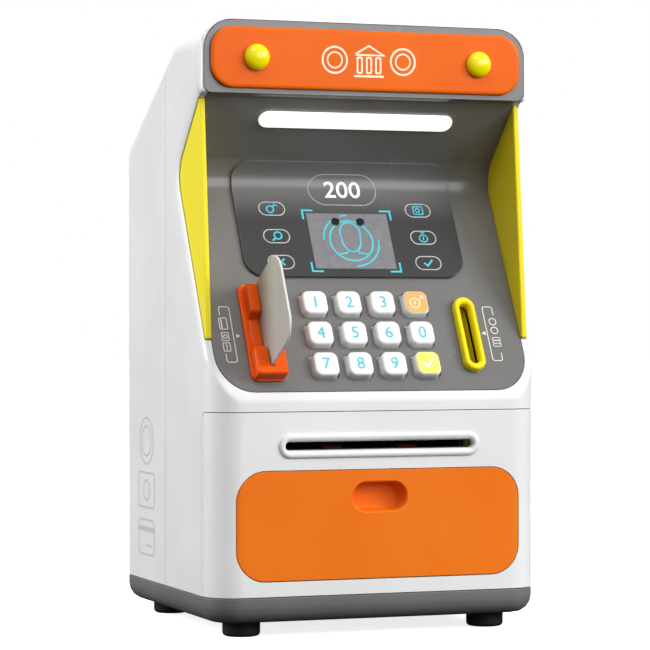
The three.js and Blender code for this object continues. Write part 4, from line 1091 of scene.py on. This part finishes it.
def make_reader():
    rolls = [(0.0, 0.9), (0.1, 0.5), (0.4, 0.18), (0.9, 0.0)]
    block = across_deck("card_reader_moulding", reader_profile,
                        edge_places(reader_x - 5.2, reader_x + 5.2, rolls))
    rim = [(0.0, 0.3), (0.0, 1.05), (0.18, 1.35), (0.6, 1.5)]
    rings = [[on_face(p.x, p.y, h) for p in rounded_rect(reader_x, 0, 14.4 - 2 * e, 42.8 - 2 * e,
                                                         3 - e, 8)] for e, h in rim]
    flange = loft("reader_flange", rings)
    cheek = across_deck("cheek", cheek_profile, edge_places(reader_x - 6.3, reader_x + 6.4, rolls))
    combine(block, [flange, cheek], "UNION")
    combine(block, [deck_prism("slot", rounded_rect(reader_x, card_s, 1.8, 38.4, 0.5, 3), -2, 12)])
    return place_piece(soften(block, 0.2), "housing", reader_orange, "card_reader")


make_reader()
print("card slot at x", reader_x, "mm")


# %% Bank card
card_half, card_inside, card_outside = 18.8, -14, 33.8


def make_card():
    """The sheet runs from inside the toy to outside, square to the deck."""
    def card_outline(edge):
        low_s, high_s = card_s - card_half + edge, card_s + card_half - edge
        inner, outer = card_inside + edge, card_outside - edge
        return outline([corner(low_s, inner, 2), corner(high_s, inner, 2),
                        corner(high_s, outer, 9), corner(low_s, outer, 9)], 12)
    rolls = [(0.0, 0.4), (0.08, 0.16), (0.22, 0.04), (0.36, 0.0)]
    card = across_deck("bank_card_sheet", card_outline,
                       edge_places(reader_x - 0.5, reader_x + 0.5, rolls))
    place_piece(smooth(card, 60), "card", card_white, "bank_card")
    # The flat faces take the darker grey as painted shade; the rounded edge keeps the white.
    card.data.materials.append(card_painted_shade)
    for face in card.data.polygons:
        face.material_index = int(abs(face.normal.x) > 0.9)


make_card()
print("card", 2 * card_half, "mm wide")

# %% [markdown]
# ## Coin slot
# A yellow racetrack ring. The outside rolls over in a quarter circle and the inside runs straight
# down through the plate, so that a coin drops cleanly. Behind it hangs the coin chute, which stays
# as the CAD made it, because only its inside is ever seen.

# %% Coin slot
def make_coin_ring():
    steps = [(9.1, 33.0, 0.3), (9.1, 33.0, 2.2), (8.85, 32.75, 2.8), (8.2, 32.1, 3.25),
             (7.4, 31.1, 3.4), (6.3, 29.6, 3.4), (5.3, 28.2, 3.2), (4.6, 27.4, 2.7),
             (4.3, 27.0, 2.0), (4.3, 27.0, -2.1), (5.6, 28.4, -2.1), (5.6, 28.4, 0.3)]
    rings = [[on_face(p.x, p.y, h) for p in stadium(coin_x, coin_s, w, length, 12)]
             for w, length, h in steps]
    ring = loft("coin_slot_ring", rings + rings[:1], False)
    return place_piece(smooth(ring, 50), "housing", coin_yellow, "coin_slot_bezel")


make_coin_ring()
print("coin slot at x", coin_x, "mm")

# %% [markdown]
# ## The drawer
# The orange front is a slice of the same rounded block, so it carries on the curve of the body's
# corners. A finger scoop is pressed into it. The tray behind is an open box that holds the coins
# and notes, and it slides out with the front.

# %% Drawer
scoop_z, scoop_width, scoop_high = 54.7, 22.5, 11.2
tray_back, tray_low, tray_wall = front + 85, 25, 2


def make_drawer_front():
    panel = hollow_body("drawer_front_moulding", face_wall)
    combine(panel, [prism("edge", drawer_shape(0), along_y, front - 5, front + 12)], "INTERSECT")

    def scoop(name, steps):
        """Nested stadiums: each step is how much wider than the scoop, and how deep."""
        return loft(name, [along_ring(stadium(0, scoop_z, scoop_width + wider, scoop_high + wider,
                                              12), front + depth) for wider, depth in steps])
    cup = scoop("cup", [(3.6, 1.0), (3.6, 8.3), (2.6, 9.3)])
    combine(panel, [cup], "UNION")
    hollow = scoop("hollow", [(1.6, -1.0), (1.6, 0.0), (0.7, 0.25), (0.1, 0.9), (-0.1, 1.6),
                              (-0.5, 5.6), (-1.3, 7.0), (-3.1, 7.5)])
    combine(panel, [hollow])
    return place_piece(soften(panel, 0.45, 3), "drawer", drawer_orange, "drawer_front")


def make_drawer_tray():
    """A box with its front wall cut away, because the orange front stands there."""
    tray_half = half_width - 16.2
    tray_front = front + wall + gap
    middle_y, depth = (tray_front + tray_back) / 2, tray_back - tray_front
    outer = rounded_rect(0, middle_y, 2 * tray_half, depth, 1.5, 5)
    tray = prism("drawer_tray_moulding", outer, along_z, tray_low, 60)
    inner = rounded_rect(0, middle_y - 3, 2 * (tray_half - tray_wall), depth + 2, 2.5, 5)
    combine(tray, [prism("inside", inner, along_z, tray_low + tray_wall, 70)])
    return place_piece(soften(tray, 0.4), "drawer", drawer_orange, "drawer_tray")


drawer_front = make_drawer_front()
make_drawer_tray()
print("drawer front faces:", len(drawer_front.data.polygons))

# %% [markdown]
# ## Base, feet and back details
# The dark base tray curves in underneath and carries four rubber feet. At the back sit the battery
# cover, a little power switch and four screws with crossed slots.

# %% Base and feet
base_wall = 2


def plan_outline(edge):
    return outline([corner(-half_width + edge, front + edge, front_round - edge),
                    corner(half_width - edge, front + edge, front_round - edge),
                    corner(half_width - edge, back - edge, max(rear_round - edge, 0.6)),
                    corner(-half_width + edge, back - edge, max(rear_round - edge, 0.6))], 10)


def make_base():
    rolls = [(7.0, 0.0), (4.3, 0.5), (2.05, 2.05), (0.55, 4.3), (0.0, 7.0), (0.0, 10.2)]

    def level(edge, rise):
        return [along_z(p.x, p.y, base_low + rise) for p in plan_outline(edge)]
    outer = [level(e, rise) for e, rise in rolls]
    inner = [level(e + base_wall, base_wall + rise) for e, rise in rolls[:-1]]
    inner.append(level(base_wall, rolls[-1][1]))
    base = loft("base_tray_moulding", outer + inner[::-1])
    return place_piece(soften(base, 0.35), "housing", base_grey, "base_tray")


def make_rails():
    for side in (-1, 1):
        points = rounded_rect(side * (half_width - 26), front + 48.5, 6, 73, 0.8, 4)
        name = "drawer_rail_left" if side < 0 else "drawer_rail_right"
        rail = prism(name, points, along_z, base_low + 1, tray_low - gap)
        place_piece(soften(rail, 0.3), "housing", base_grey)


def make_foot(name, x, y):
    rolls = [(5.9, 0.0), (6.5, 0.12), (7.05, 0.47), (7.38, 0.98), (7.5, 1.6), (7.5, 5.7)]
    dish = [(0.6, 0.5), (3.6, 0.5), (4.4, 0.35), (5.0, 0.0)]
    rings = [[along_z(p.x, p.y, z) for p in circle(x, y, radius, 40)] for radius, z in dish + rolls]
    return place_piece(smooth(loft(f"{name}_pad", rings), 50), "housing", foot_rubber, name)


make_base()
make_rails()
foot_x = half_width - 17.7
for side, word in ((-1, "left"), (1, "right")):
    make_foot(f"foot_front_{word}", side * foot_x, front + 17)
    make_foot(f"foot_rear_{word}", side * foot_x, back - 10.5)
print(f"feet {2 * foot_x:.1f} mm apart")


# %% Battery cover, switch and screws
def make_cover():
    rolls = [(0.0, -2.0), (0.0, -0.35), (0.1, -0.1), (0.35, 0.0)]
    rings = [along_ring(rounded_rect(0, cover_z, 55.4 - 2 * e, 50.4 - 2 * e, 0.9, 5), back + y)
             for e, y in rolls]
    cover = loft("battery_cover_moulding", rings)
    grips = [prism("grip", stadium(0, 116 - k * 2.4, 18 - k * 2.5, 1.0, 4), along_y, back - 0.5,
                   back + 2) for k in range(4)]
    combine(cover, grips)
    return place_piece(soften(cover, 0.12), "housing", white_shell, "battery_cover")


def make_switch():
    switch_x = 38.5
    nub = prism("power_switch_nub", rounded_rect(switch_x, switch_z, 5, 4.2, 0.5, 4), along_y,
                back - 3, back - 0.6)
    ridges = [prism("ridge", rounded_rect(switch_x + k * 1.2, switch_z, 0.5, 6, 0.1, 2), along_y,
                    back - 1.0, back + 1) for k in (-1, 0, 1)]
    combine(nub, ridges)
    slider = prism("slider", rounded_rect(switch_x, switch_z, 11, 7.2, 0.8, 4), along_y,
                   back - 4.7, back - 2.5)
    combine(nub, [slider], "UNION")
    return place_piece(soften(nub, 0.12), "switch", black_plastic, "power_switch")


def make_screw(name, x, z):
    seat = seam + 3.45
    profile = [(1.4, -15), (1.4, 0.0), (2.8, 0.0), (2.8, 1.2), (2.6, 1.7), (2.1, 2.0)]
    rings = [along_ring(circle(x, z, radius, 24), seat + y) for radius, y in profile]
    screw = loft(f"{name}_turned", rings)
    slots = [prism("slot", rounded_rect(x, z, w, h, 0.2, 2), along_y, seat + 1.0, seat + 4)
             for w, h in ((3.2, 0.7), (0.7, 3.2))]
    combine(screw, slots)
    return place_piece(smooth(screw, 35), "housing", steel, name)


make_cover()
make_switch()
for (x, z), where in zip(screw_places, ("low_left", "high_left", "low_right", "high_right")):
    make_screw(f"housing_screw_{where}", x, z)

# %% [markdown]
# ## Pieces kept from the CAD model
# The keypad mat, circuit board, rollers, gears, motor, lock and batteries hardly show, so they keep
# their CAD shapes. They still get real finishes, because they can be seen through the note slot,
# the coin slot and the open drawer.

# %% Finishes for the kept pieces
kept = {
    "keypad_mat": mat_rubber, "circuit_board": circuit_green, "coin_chute": coin_yellow,
    "note_guide": black_plastic, "feed_shaft": steel, "feed_gear": gear_white,
    "feed_roller_left": roller_rubber, "feed_roller_right": roller_rubber,
    "motor_pinion": gear_white, "pinch_roller": pinch_rubber, "feed_motor": motor_can,
    "lock_frame": black_plastic, "lock_bolt": steel, "lock_solenoid": black_plastic,
    "battery_1": battery_wrap, "battery_2": battery_wrap, "battery_3": battery_wrap,
    "speaker": black_plastic,
}
for node, material in kept.items():
    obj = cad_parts[node]
    obj.data.materials.clear()
    obj.data.materials.append(material)
print("kept pieces:", len(kept))

# %% [markdown]
# ## Print
# The figures come from the built-in typeface, and nearly all the rest is drawn with strokes: a
# line of points becomes a thin flat ribbon that lies a few hundredths of a millimetre above the
# plastic, just as a layer of ink does. Because each point goes through the face helper, a ribbon
# follows the deck and even bends with the screen. Small picture signs take the place of words, so
# the toy reads the same in any language.

# %% Drawing tools for print
INK = 0.05


def arc(cx, cy, radius, start=0, end=360, steps=28, tall=1.0):
    turns = [math.radians(start + (end - start) * k / steps) for k in range(steps + 1)]
    return [Vector((cx + radius * math.cos(t), cy + radius * tall * math.sin(t))) for t in turns]


def line(*pairs, step=1.2):
    """A line through the given pairs, divided finely enough to follow a bent face."""
    points = [Vector(pairs[0])]
    for a, b in zip(pairs, pairs[1:]):
        a, b = Vector(a), Vector(b)
        parts = max(1, math.ceil((b - a).length / step))
        points += [a.lerp(b, k / parts) for k in range(1, parts + 1)]
    return points


def ribbon(bm, points, width, place, closed=False):
    """A flat strip along the points; at a corner it widens so that both arms keep their width."""
    count = len(points)
    sides = []
    for i, point in enumerate(points):
        before = points[i - 1] if closed or i else point
        after = points[(i + 1) % count] if closed or i < count - 1 else point
        arrive = (point - before).normalized()
        leave = (after - point).normalized()
        along = (arrive + leave).normalized()
        across = Vector((-along.y, along.x))
        straight = arrive if arrive.length > 0 else leave
        cosine = max(abs(across.dot(Vector((-straight.y, straight.x)))), 0.4)
        shift = across * (width / 2 / cosine)
        sides.append([bm.verts.new(place(point + way * shift) * MM) for way in (1, -1)])
    pairs = list(zip(sides, sides[1:])) + ([(sides[-1], sides[0])] if closed else [])
    for (a, b), (c, d) in pairs:
        bm.faces.new((a, b, d, c))


def print_on(name, body, material, place, strokes=(), fills=()):
    """Strokes are (points, width) or (points, width, closed); fills are outlines."""
    bm = bmesh.new()
    for points, width, *closed in strokes:
        ribbon(bm, points, width, place, bool(closed and closed[0]))
    for shape in fills:
        bm.faces.new([bm.verts.new(place(p) * MM) for p in shape])
    return place_piece(new_object(name, bm), body, material)


def print_digits(name, body, material, place, text, size, cx, cy, weight=0.0):
    """Figures from the built-in typeface, turned into a mesh and centred on their real outline."""
    curve = bpy.data.curves.new(name, "FONT")
    curve.body = text
    curve.size = size
    curve.offset = weight
    curve.align_x = "CENTER"
    curve.align_y = "CENTER"
    curve.resolution_u = 6
    holder = bpy.data.objects.new(name, curve)
    bpy.context.scene.collection.objects.link(holder)
    mesh = bpy.data.meshes.new_from_object(holder.evaluated_get(
        bpy.context.evaluated_depsgraph_get()))
    bpy.data.objects.remove(holder)
    across, upward = [[v.co[i] for v in mesh.vertices] for i in (0, 1)]
    middle_x, middle_y = [(min(values) + max(values)) / 2 for values in (across, upward)]
    for v in mesh.vertices:
        v.co = place(Vector((cx + v.co.x - middle_x, cy + v.co.y - middle_y))) * MM
    obj = bpy.data.objects.new(name, mesh)
    bpy.context.scene.collection.objects.link(obj)
    return place_piece(obj, body, material)


def at_height(h):
    return lambda p: on_face(p.x, p.y, h)


def s_for(z):
    """Distance up the face at which it reaches height z, on the deck or on the bend."""
    low, high = -40.0, bend_start_s + bend_length
    for _ in range(40):
        middle_s = (low + high) / 2
        low, high = (middle_s, high) if on_face(0, middle_s).z < z else (low, middle_s)
    return low


print(f"height 170 mm is reached {s_for(170):.1f} mm up the face")

# %% [markdown]
# ### Key print
# The ten number keys carry plain figures in cyan. The cream key carries a coin with an arrow, and
# the yellow one carries a tick.

# %% Key print
key_top = at_height(key_height + INK)
for name, x, s in key_places:
    if name.isdigit():
        print_digits(f"key_{name}_figure", f"key_{name}", cyan_ink, key_top, name, 7.2, x, s)
places = {name: Vector((x, s)) for name, x, s in key_places}


def coin_sign(x, y, radius, width):
    return [(arc(x, y, radius)[:-1], width, True),
            (line((x, y - radius * 0.45), (x, y + radius * 0.45)), width),
            (line((x - radius * 0.3, y), (x + radius * 0.3, y)), width * 0.9)]


def arrow_sign(x, y, width):
    """A short arrow that points up and to the right."""
    return [(line((x + 1.6, y + 1.2), (x + 3.0, y + 2.6)), width),
            (line((x + 1.7, y + 2.7), (x + 3.1, y + 2.7), (x + 3.1, y + 1.3)), width - 0.05)]


def tick_sign(x, y, size, width):
    return [(line((x - size, y), (x - size * 0.25, y - size * 0.7), (x + size, y + size * 0.75)),
             width)]


x, s = places["coin"]
print_on("key_coin_sign", "key_coin", cream_ink, key_top,
         coin_sign(x - 0.7, s - 0.5, 2.1, 0.55) + arrow_sign(x, s, 0.55))
print_on("key_enter_sign", "key_enter", white_ink, key_top, tick_sign(*places["enter"], 2.5, 0.9))
print("figures on", sum(name.isdigit() for name in places), "keys")

# %% [markdown]
# ### The screen picture
# A grey camera field with corner brackets, and a ring with a plain head and shoulders inside. Two
# ink heights keep the layers apart: the field is on the sheet, and the cyan lines are above it.

# %% Screen print
screen_top = at_height(screen_height + INK)
over_top = at_height(screen_height + 2 * INK)
field_low, field_high = s_at(144.5), s_at(167.1)
field_half = 17.5


def field_corner(sx, sy):
    """One bracket just outside a corner of the camera field."""
    x = sx * (field_half + 1.6)
    s = (field_low if sy < 0 else field_high) + sy * 1.3
    return line((x - sx * 4.6, s), (x, s), (x, s - sy * 4.2)), 0.85


print_on("screen_field", "housing", panel_ink, screen_top, fills=[
    [Vector((-field_half, field_low)), Vector((field_half, field_low)),
     Vector((field_half, field_high)), Vector((-field_half, field_high))]])
print_on("screen_brackets", "housing", cyan_ink, over_top,
         [field_corner(sx, sy) for sx in (-1, 1) for sy in (-1, 1)])
face_s = s_at(155.9)
head = [(arc(0, face_s + 3.6, 4.4, -10, 190, 24, 1.1), 0.7),
        (line((-4.3, face_s + 2.8), (-3.9, face_s - 1.4), (-2.4, face_s - 4.2), (0, face_s - 5.2),
              (2.4, face_s - 4.2), (3.9, face_s - 1.4), (4.3, face_s + 2.8)), 0.7),
        (line((-2.0, face_s - 4.7), (-2.6, face_s - 5.6), (-6.6, face_s - 6.3)), 0.7),
        (line((2.0, face_s - 4.7), (2.6, face_s - 5.6), (6.6, face_s - 6.3)), 0.7)]
rings = [(arc(0, face_s, 9.2, 0, 360, 56)[:-1], 0.75, True),
         (arc(0, face_s, 11.8, 125, 178, 18), 0.75),
         (arc(0, face_s, 11.8, 90, 106, 6), 0.75),
         (arc(0, face_s, 11.8, -88, 4, 24), 0.75)]
print_on("screen_figure", "housing", cyan_ink, over_top, head + rings)
print("camera field", 2 * field_half, "mm wide")

# %% [markdown]
# ### The screen's buttons and amount
# Round-ended outlines in silver ink hold small cyan signs: a coin going in, a magnifier and a cross
# on the left, a safe, a purse and a tick on the right. The amount is on the bend, so its place is
# found by height and not by a distance up the flat deck.

# %% Screen buttons and amount
pill_rows = [s_at(168.8), s_at(157.5), s_at(147.0)]
left_x, right_x = -31.9, 31.9
pills = [(stadium(x, s, 11.0, 6.1, 10), 0.45, True) for x in (left_x, right_x) for s in pill_rows]
amount_low, amount_high = s_for(170.7), s_for(184.2)
amount_s = (amount_low + amount_high) / 2
amount_frame = rounded_rect(0, amount_s, 29.5, amount_high - amount_low, 7.4, 12)
pills.append((amount_frame, 0.3, True))
print_on("screen_pills", "housing", silver_ink, screen_top, pills)
print_digits("screen_amount", "housing", white_ink, over_top, "200", 10.9, 0, amount_s, 0.12)

top_s, mid_s, low_s = pill_rows
signs = [(arc(left_x - 0.8, top_s - 0.3, 1.5)[:-1], 0.6, True),
         (line((left_x + 0.3, top_s + 0.8), (left_x + 2.0, top_s + 2.0)), 0.7),
         (line((left_x + 1.0, top_s + 2.3), (left_x + 2.5, top_s + 1.2)), 0.6),
         (arc(left_x + 0.6, mid_s + 0.3, 1.6)[:-1], 0.65, True),
         (line((left_x - 0.6, mid_s - 0.9), (left_x - 2.0, mid_s - 2.1)), 0.8),
         (line((left_x - 1.5, low_s - 1.5), (left_x + 1.5, low_s + 1.5)), 0.8),
         (line((left_x - 1.5, low_s + 1.5), (left_x + 1.5, low_s - 1.5)), 0.8),
         (rounded_rect(right_x, top_s, 4.2, 3.6, 0.5, 3), 0.5, True),
         (arc(right_x - 0.2, top_s, 0.9)[:-1], 0.5, True),
         (arc(right_x, mid_s - 0.4, 1.8, 0, 360, 20, 0.9)[:-1], 0.55, True),
         (line((right_x - 0.8, mid_s + 2.2), (right_x + 0.8, mid_s + 2.2)), 0.55),
         (line((right_x, mid_s - 1.2), (right_x, mid_s + 0.5)), 0.55)]
signs += tick_sign(right_x, low_s, 1.9, 0.75)
print_on("screen_signs", "housing", cyan_ink, over_top, signs)
print(f"amount sits {amount_s:.1f} mm up the face")

# %% [markdown]
# ### Labels beside the slots
# Thin light lines frame each slot's signs: cards on the left, coins and a pile of coins on the
# right. A small triangle points at the slot that each label belongs to.

# %% Slot labels
deck_top = at_height(INK)
card_x, coins_x = -60.3, 55.4


def label_frame(line_x, end_x):
    """Three sides of a frame with hooked ends; the open side faces away from the slot."""
    high, low, hook, turn = 12.1, -12.5, 3.7, 0.9
    return outline([corner(end_x, high - hook), corner(end_x, high, turn),
                    corner(line_x, high, turn), corner(line_x, low, turn),
                    corner(end_x, low, turn), corner(end_x, low + hook - 0.1)], 4)


def triangle(x, s, way):
    """A small filled pointer; way is 1 to point right and -1 to point left."""
    return [Vector((x, s - way)), Vector((x + 1.7 * way, s)), Vector((x, s + way))]


card_label = [
    (label_frame(card_x + 3.4, card_x - 0.9), 0.4),
    (rounded_rect(card_x, 4.6, 3.2, 5.0, 0.6, 4), 0.42, True),
    (line((card_x - 0.7, 2.5), (card_x - 0.7, 6.7)), 0.55),
    (rounded_rect(card_x, -1.2, 2.8, 3.6, 0.3, 3), 0.38, True),
    (arc(card_x, -1.2, 0.75)[:-1], 0.38, True),
    (rounded_rect(card_x, -5.8, 2.8, 3.6, 0.3, 3), 0.38, True),
    (line((card_x, -7.1), (card_x, -4.5)), 0.38),
]
coin_label = [
    (label_frame(coins_x - 3.4, coins_x + 0.9), 0.4),
    (arc(coins_x, 5.3, 1.5)[:-1], 0.42, True),
    (arc(coins_x, 1.3, 1.5)[:-1], 0.42, True),
]
coin_label += [(stadium(coins_x, -5.4 + 1.4 * k, 3.4, 1.2, 5), 0.34, True) for k in range(3)]
pointers = [triangle(card_x + 4.6, -0.9, 1), triangle(coins_x - 4.2, 0.0, -1)]
print_on("slot_labels", "housing", label_ink, deck_top, card_label + coin_label, pointers)
print("label strokes:", len(card_label) + len(coin_label))

# %% [markdown]
# ### Banner and side pictures
# The banner carries a cream outline of a small temple-fronted bank between two coins. The left side
# carries a coin, a note and a card in pale grey outline, one above the other.

# %% Banner and side print
def on_banner(p):
    return Vector((p.x, banner_back - banner_thick - INK, p.y))


def on_left_side(p):
    return Vector((-half_width - INK, p.x, p.y))


def bank_sign(x, z, size, width):
    roof = [(x - size, z + size * 0.42), (x, z + size), (x + size, z + size * 0.42)]
    strokes = [(line(*roof, roof[0], step=9), width),
               (line((x - size, z - size * 0.9), (x + size, z - size * 0.9)), width * 1.2)]
    for k in (-0.62, 0, 0.62):
        strokes.append((rounded_rect(x + k * size, z - size * 0.22, size * 0.3, size * 0.95,
                                     size * 0.06, 2), width, True))
    return strokes


coin_places = (-14.6, 14.6)
banner_strokes = bank_sign(0, banner_z - 0.4, 6.4, 0.75)
for x in coin_places:
    banner_strokes += [(arc(x, banner_z, 5.2, 0, 360, 48)[:-1], 0.8, True),
                       (arc(x, banner_z, 3.1, 0, 360, 36)[:-1], 0.65, True)]
print_on("banner_picture", "housing", cream_ink, on_banner, banner_strokes)

side_y = front + 87.5
side_coin_z, side_note_z, side_card_z = 74, 53.6, 34
side_strokes = [(arc(side_y, side_coin_z, 9.6, 0, 360, 56)[:-1], 0.8, True),
                (arc(side_y, side_coin_z, 6.2, 0, 360, 48)[:-1], 0.8, True),
                (rounded_rect(side_y, side_note_z, 22, 14.4, 1.6, 6), 0.8, True),
                (arc(side_y, side_note_z, 4.2, 0, 360, 36)[:-1], 0.8, True),
                (rounded_rect(side_y, side_card_z, 22, 14.4, 2.6, 8), 0.8, True),
                (line((side_y - 10.6, side_card_z + 3.4), (side_y + 10.6, side_card_z + 3.4)), 2.0),
                (line((side_y - 7.6, side_card_z - 3.4), (side_y + 0.6, side_card_z - 3.4)), 0.8)]
print_on("side_picture", "housing", grey_ink, on_left_side, side_strokes)
print("side picture at y", round(side_y, 1), "mm")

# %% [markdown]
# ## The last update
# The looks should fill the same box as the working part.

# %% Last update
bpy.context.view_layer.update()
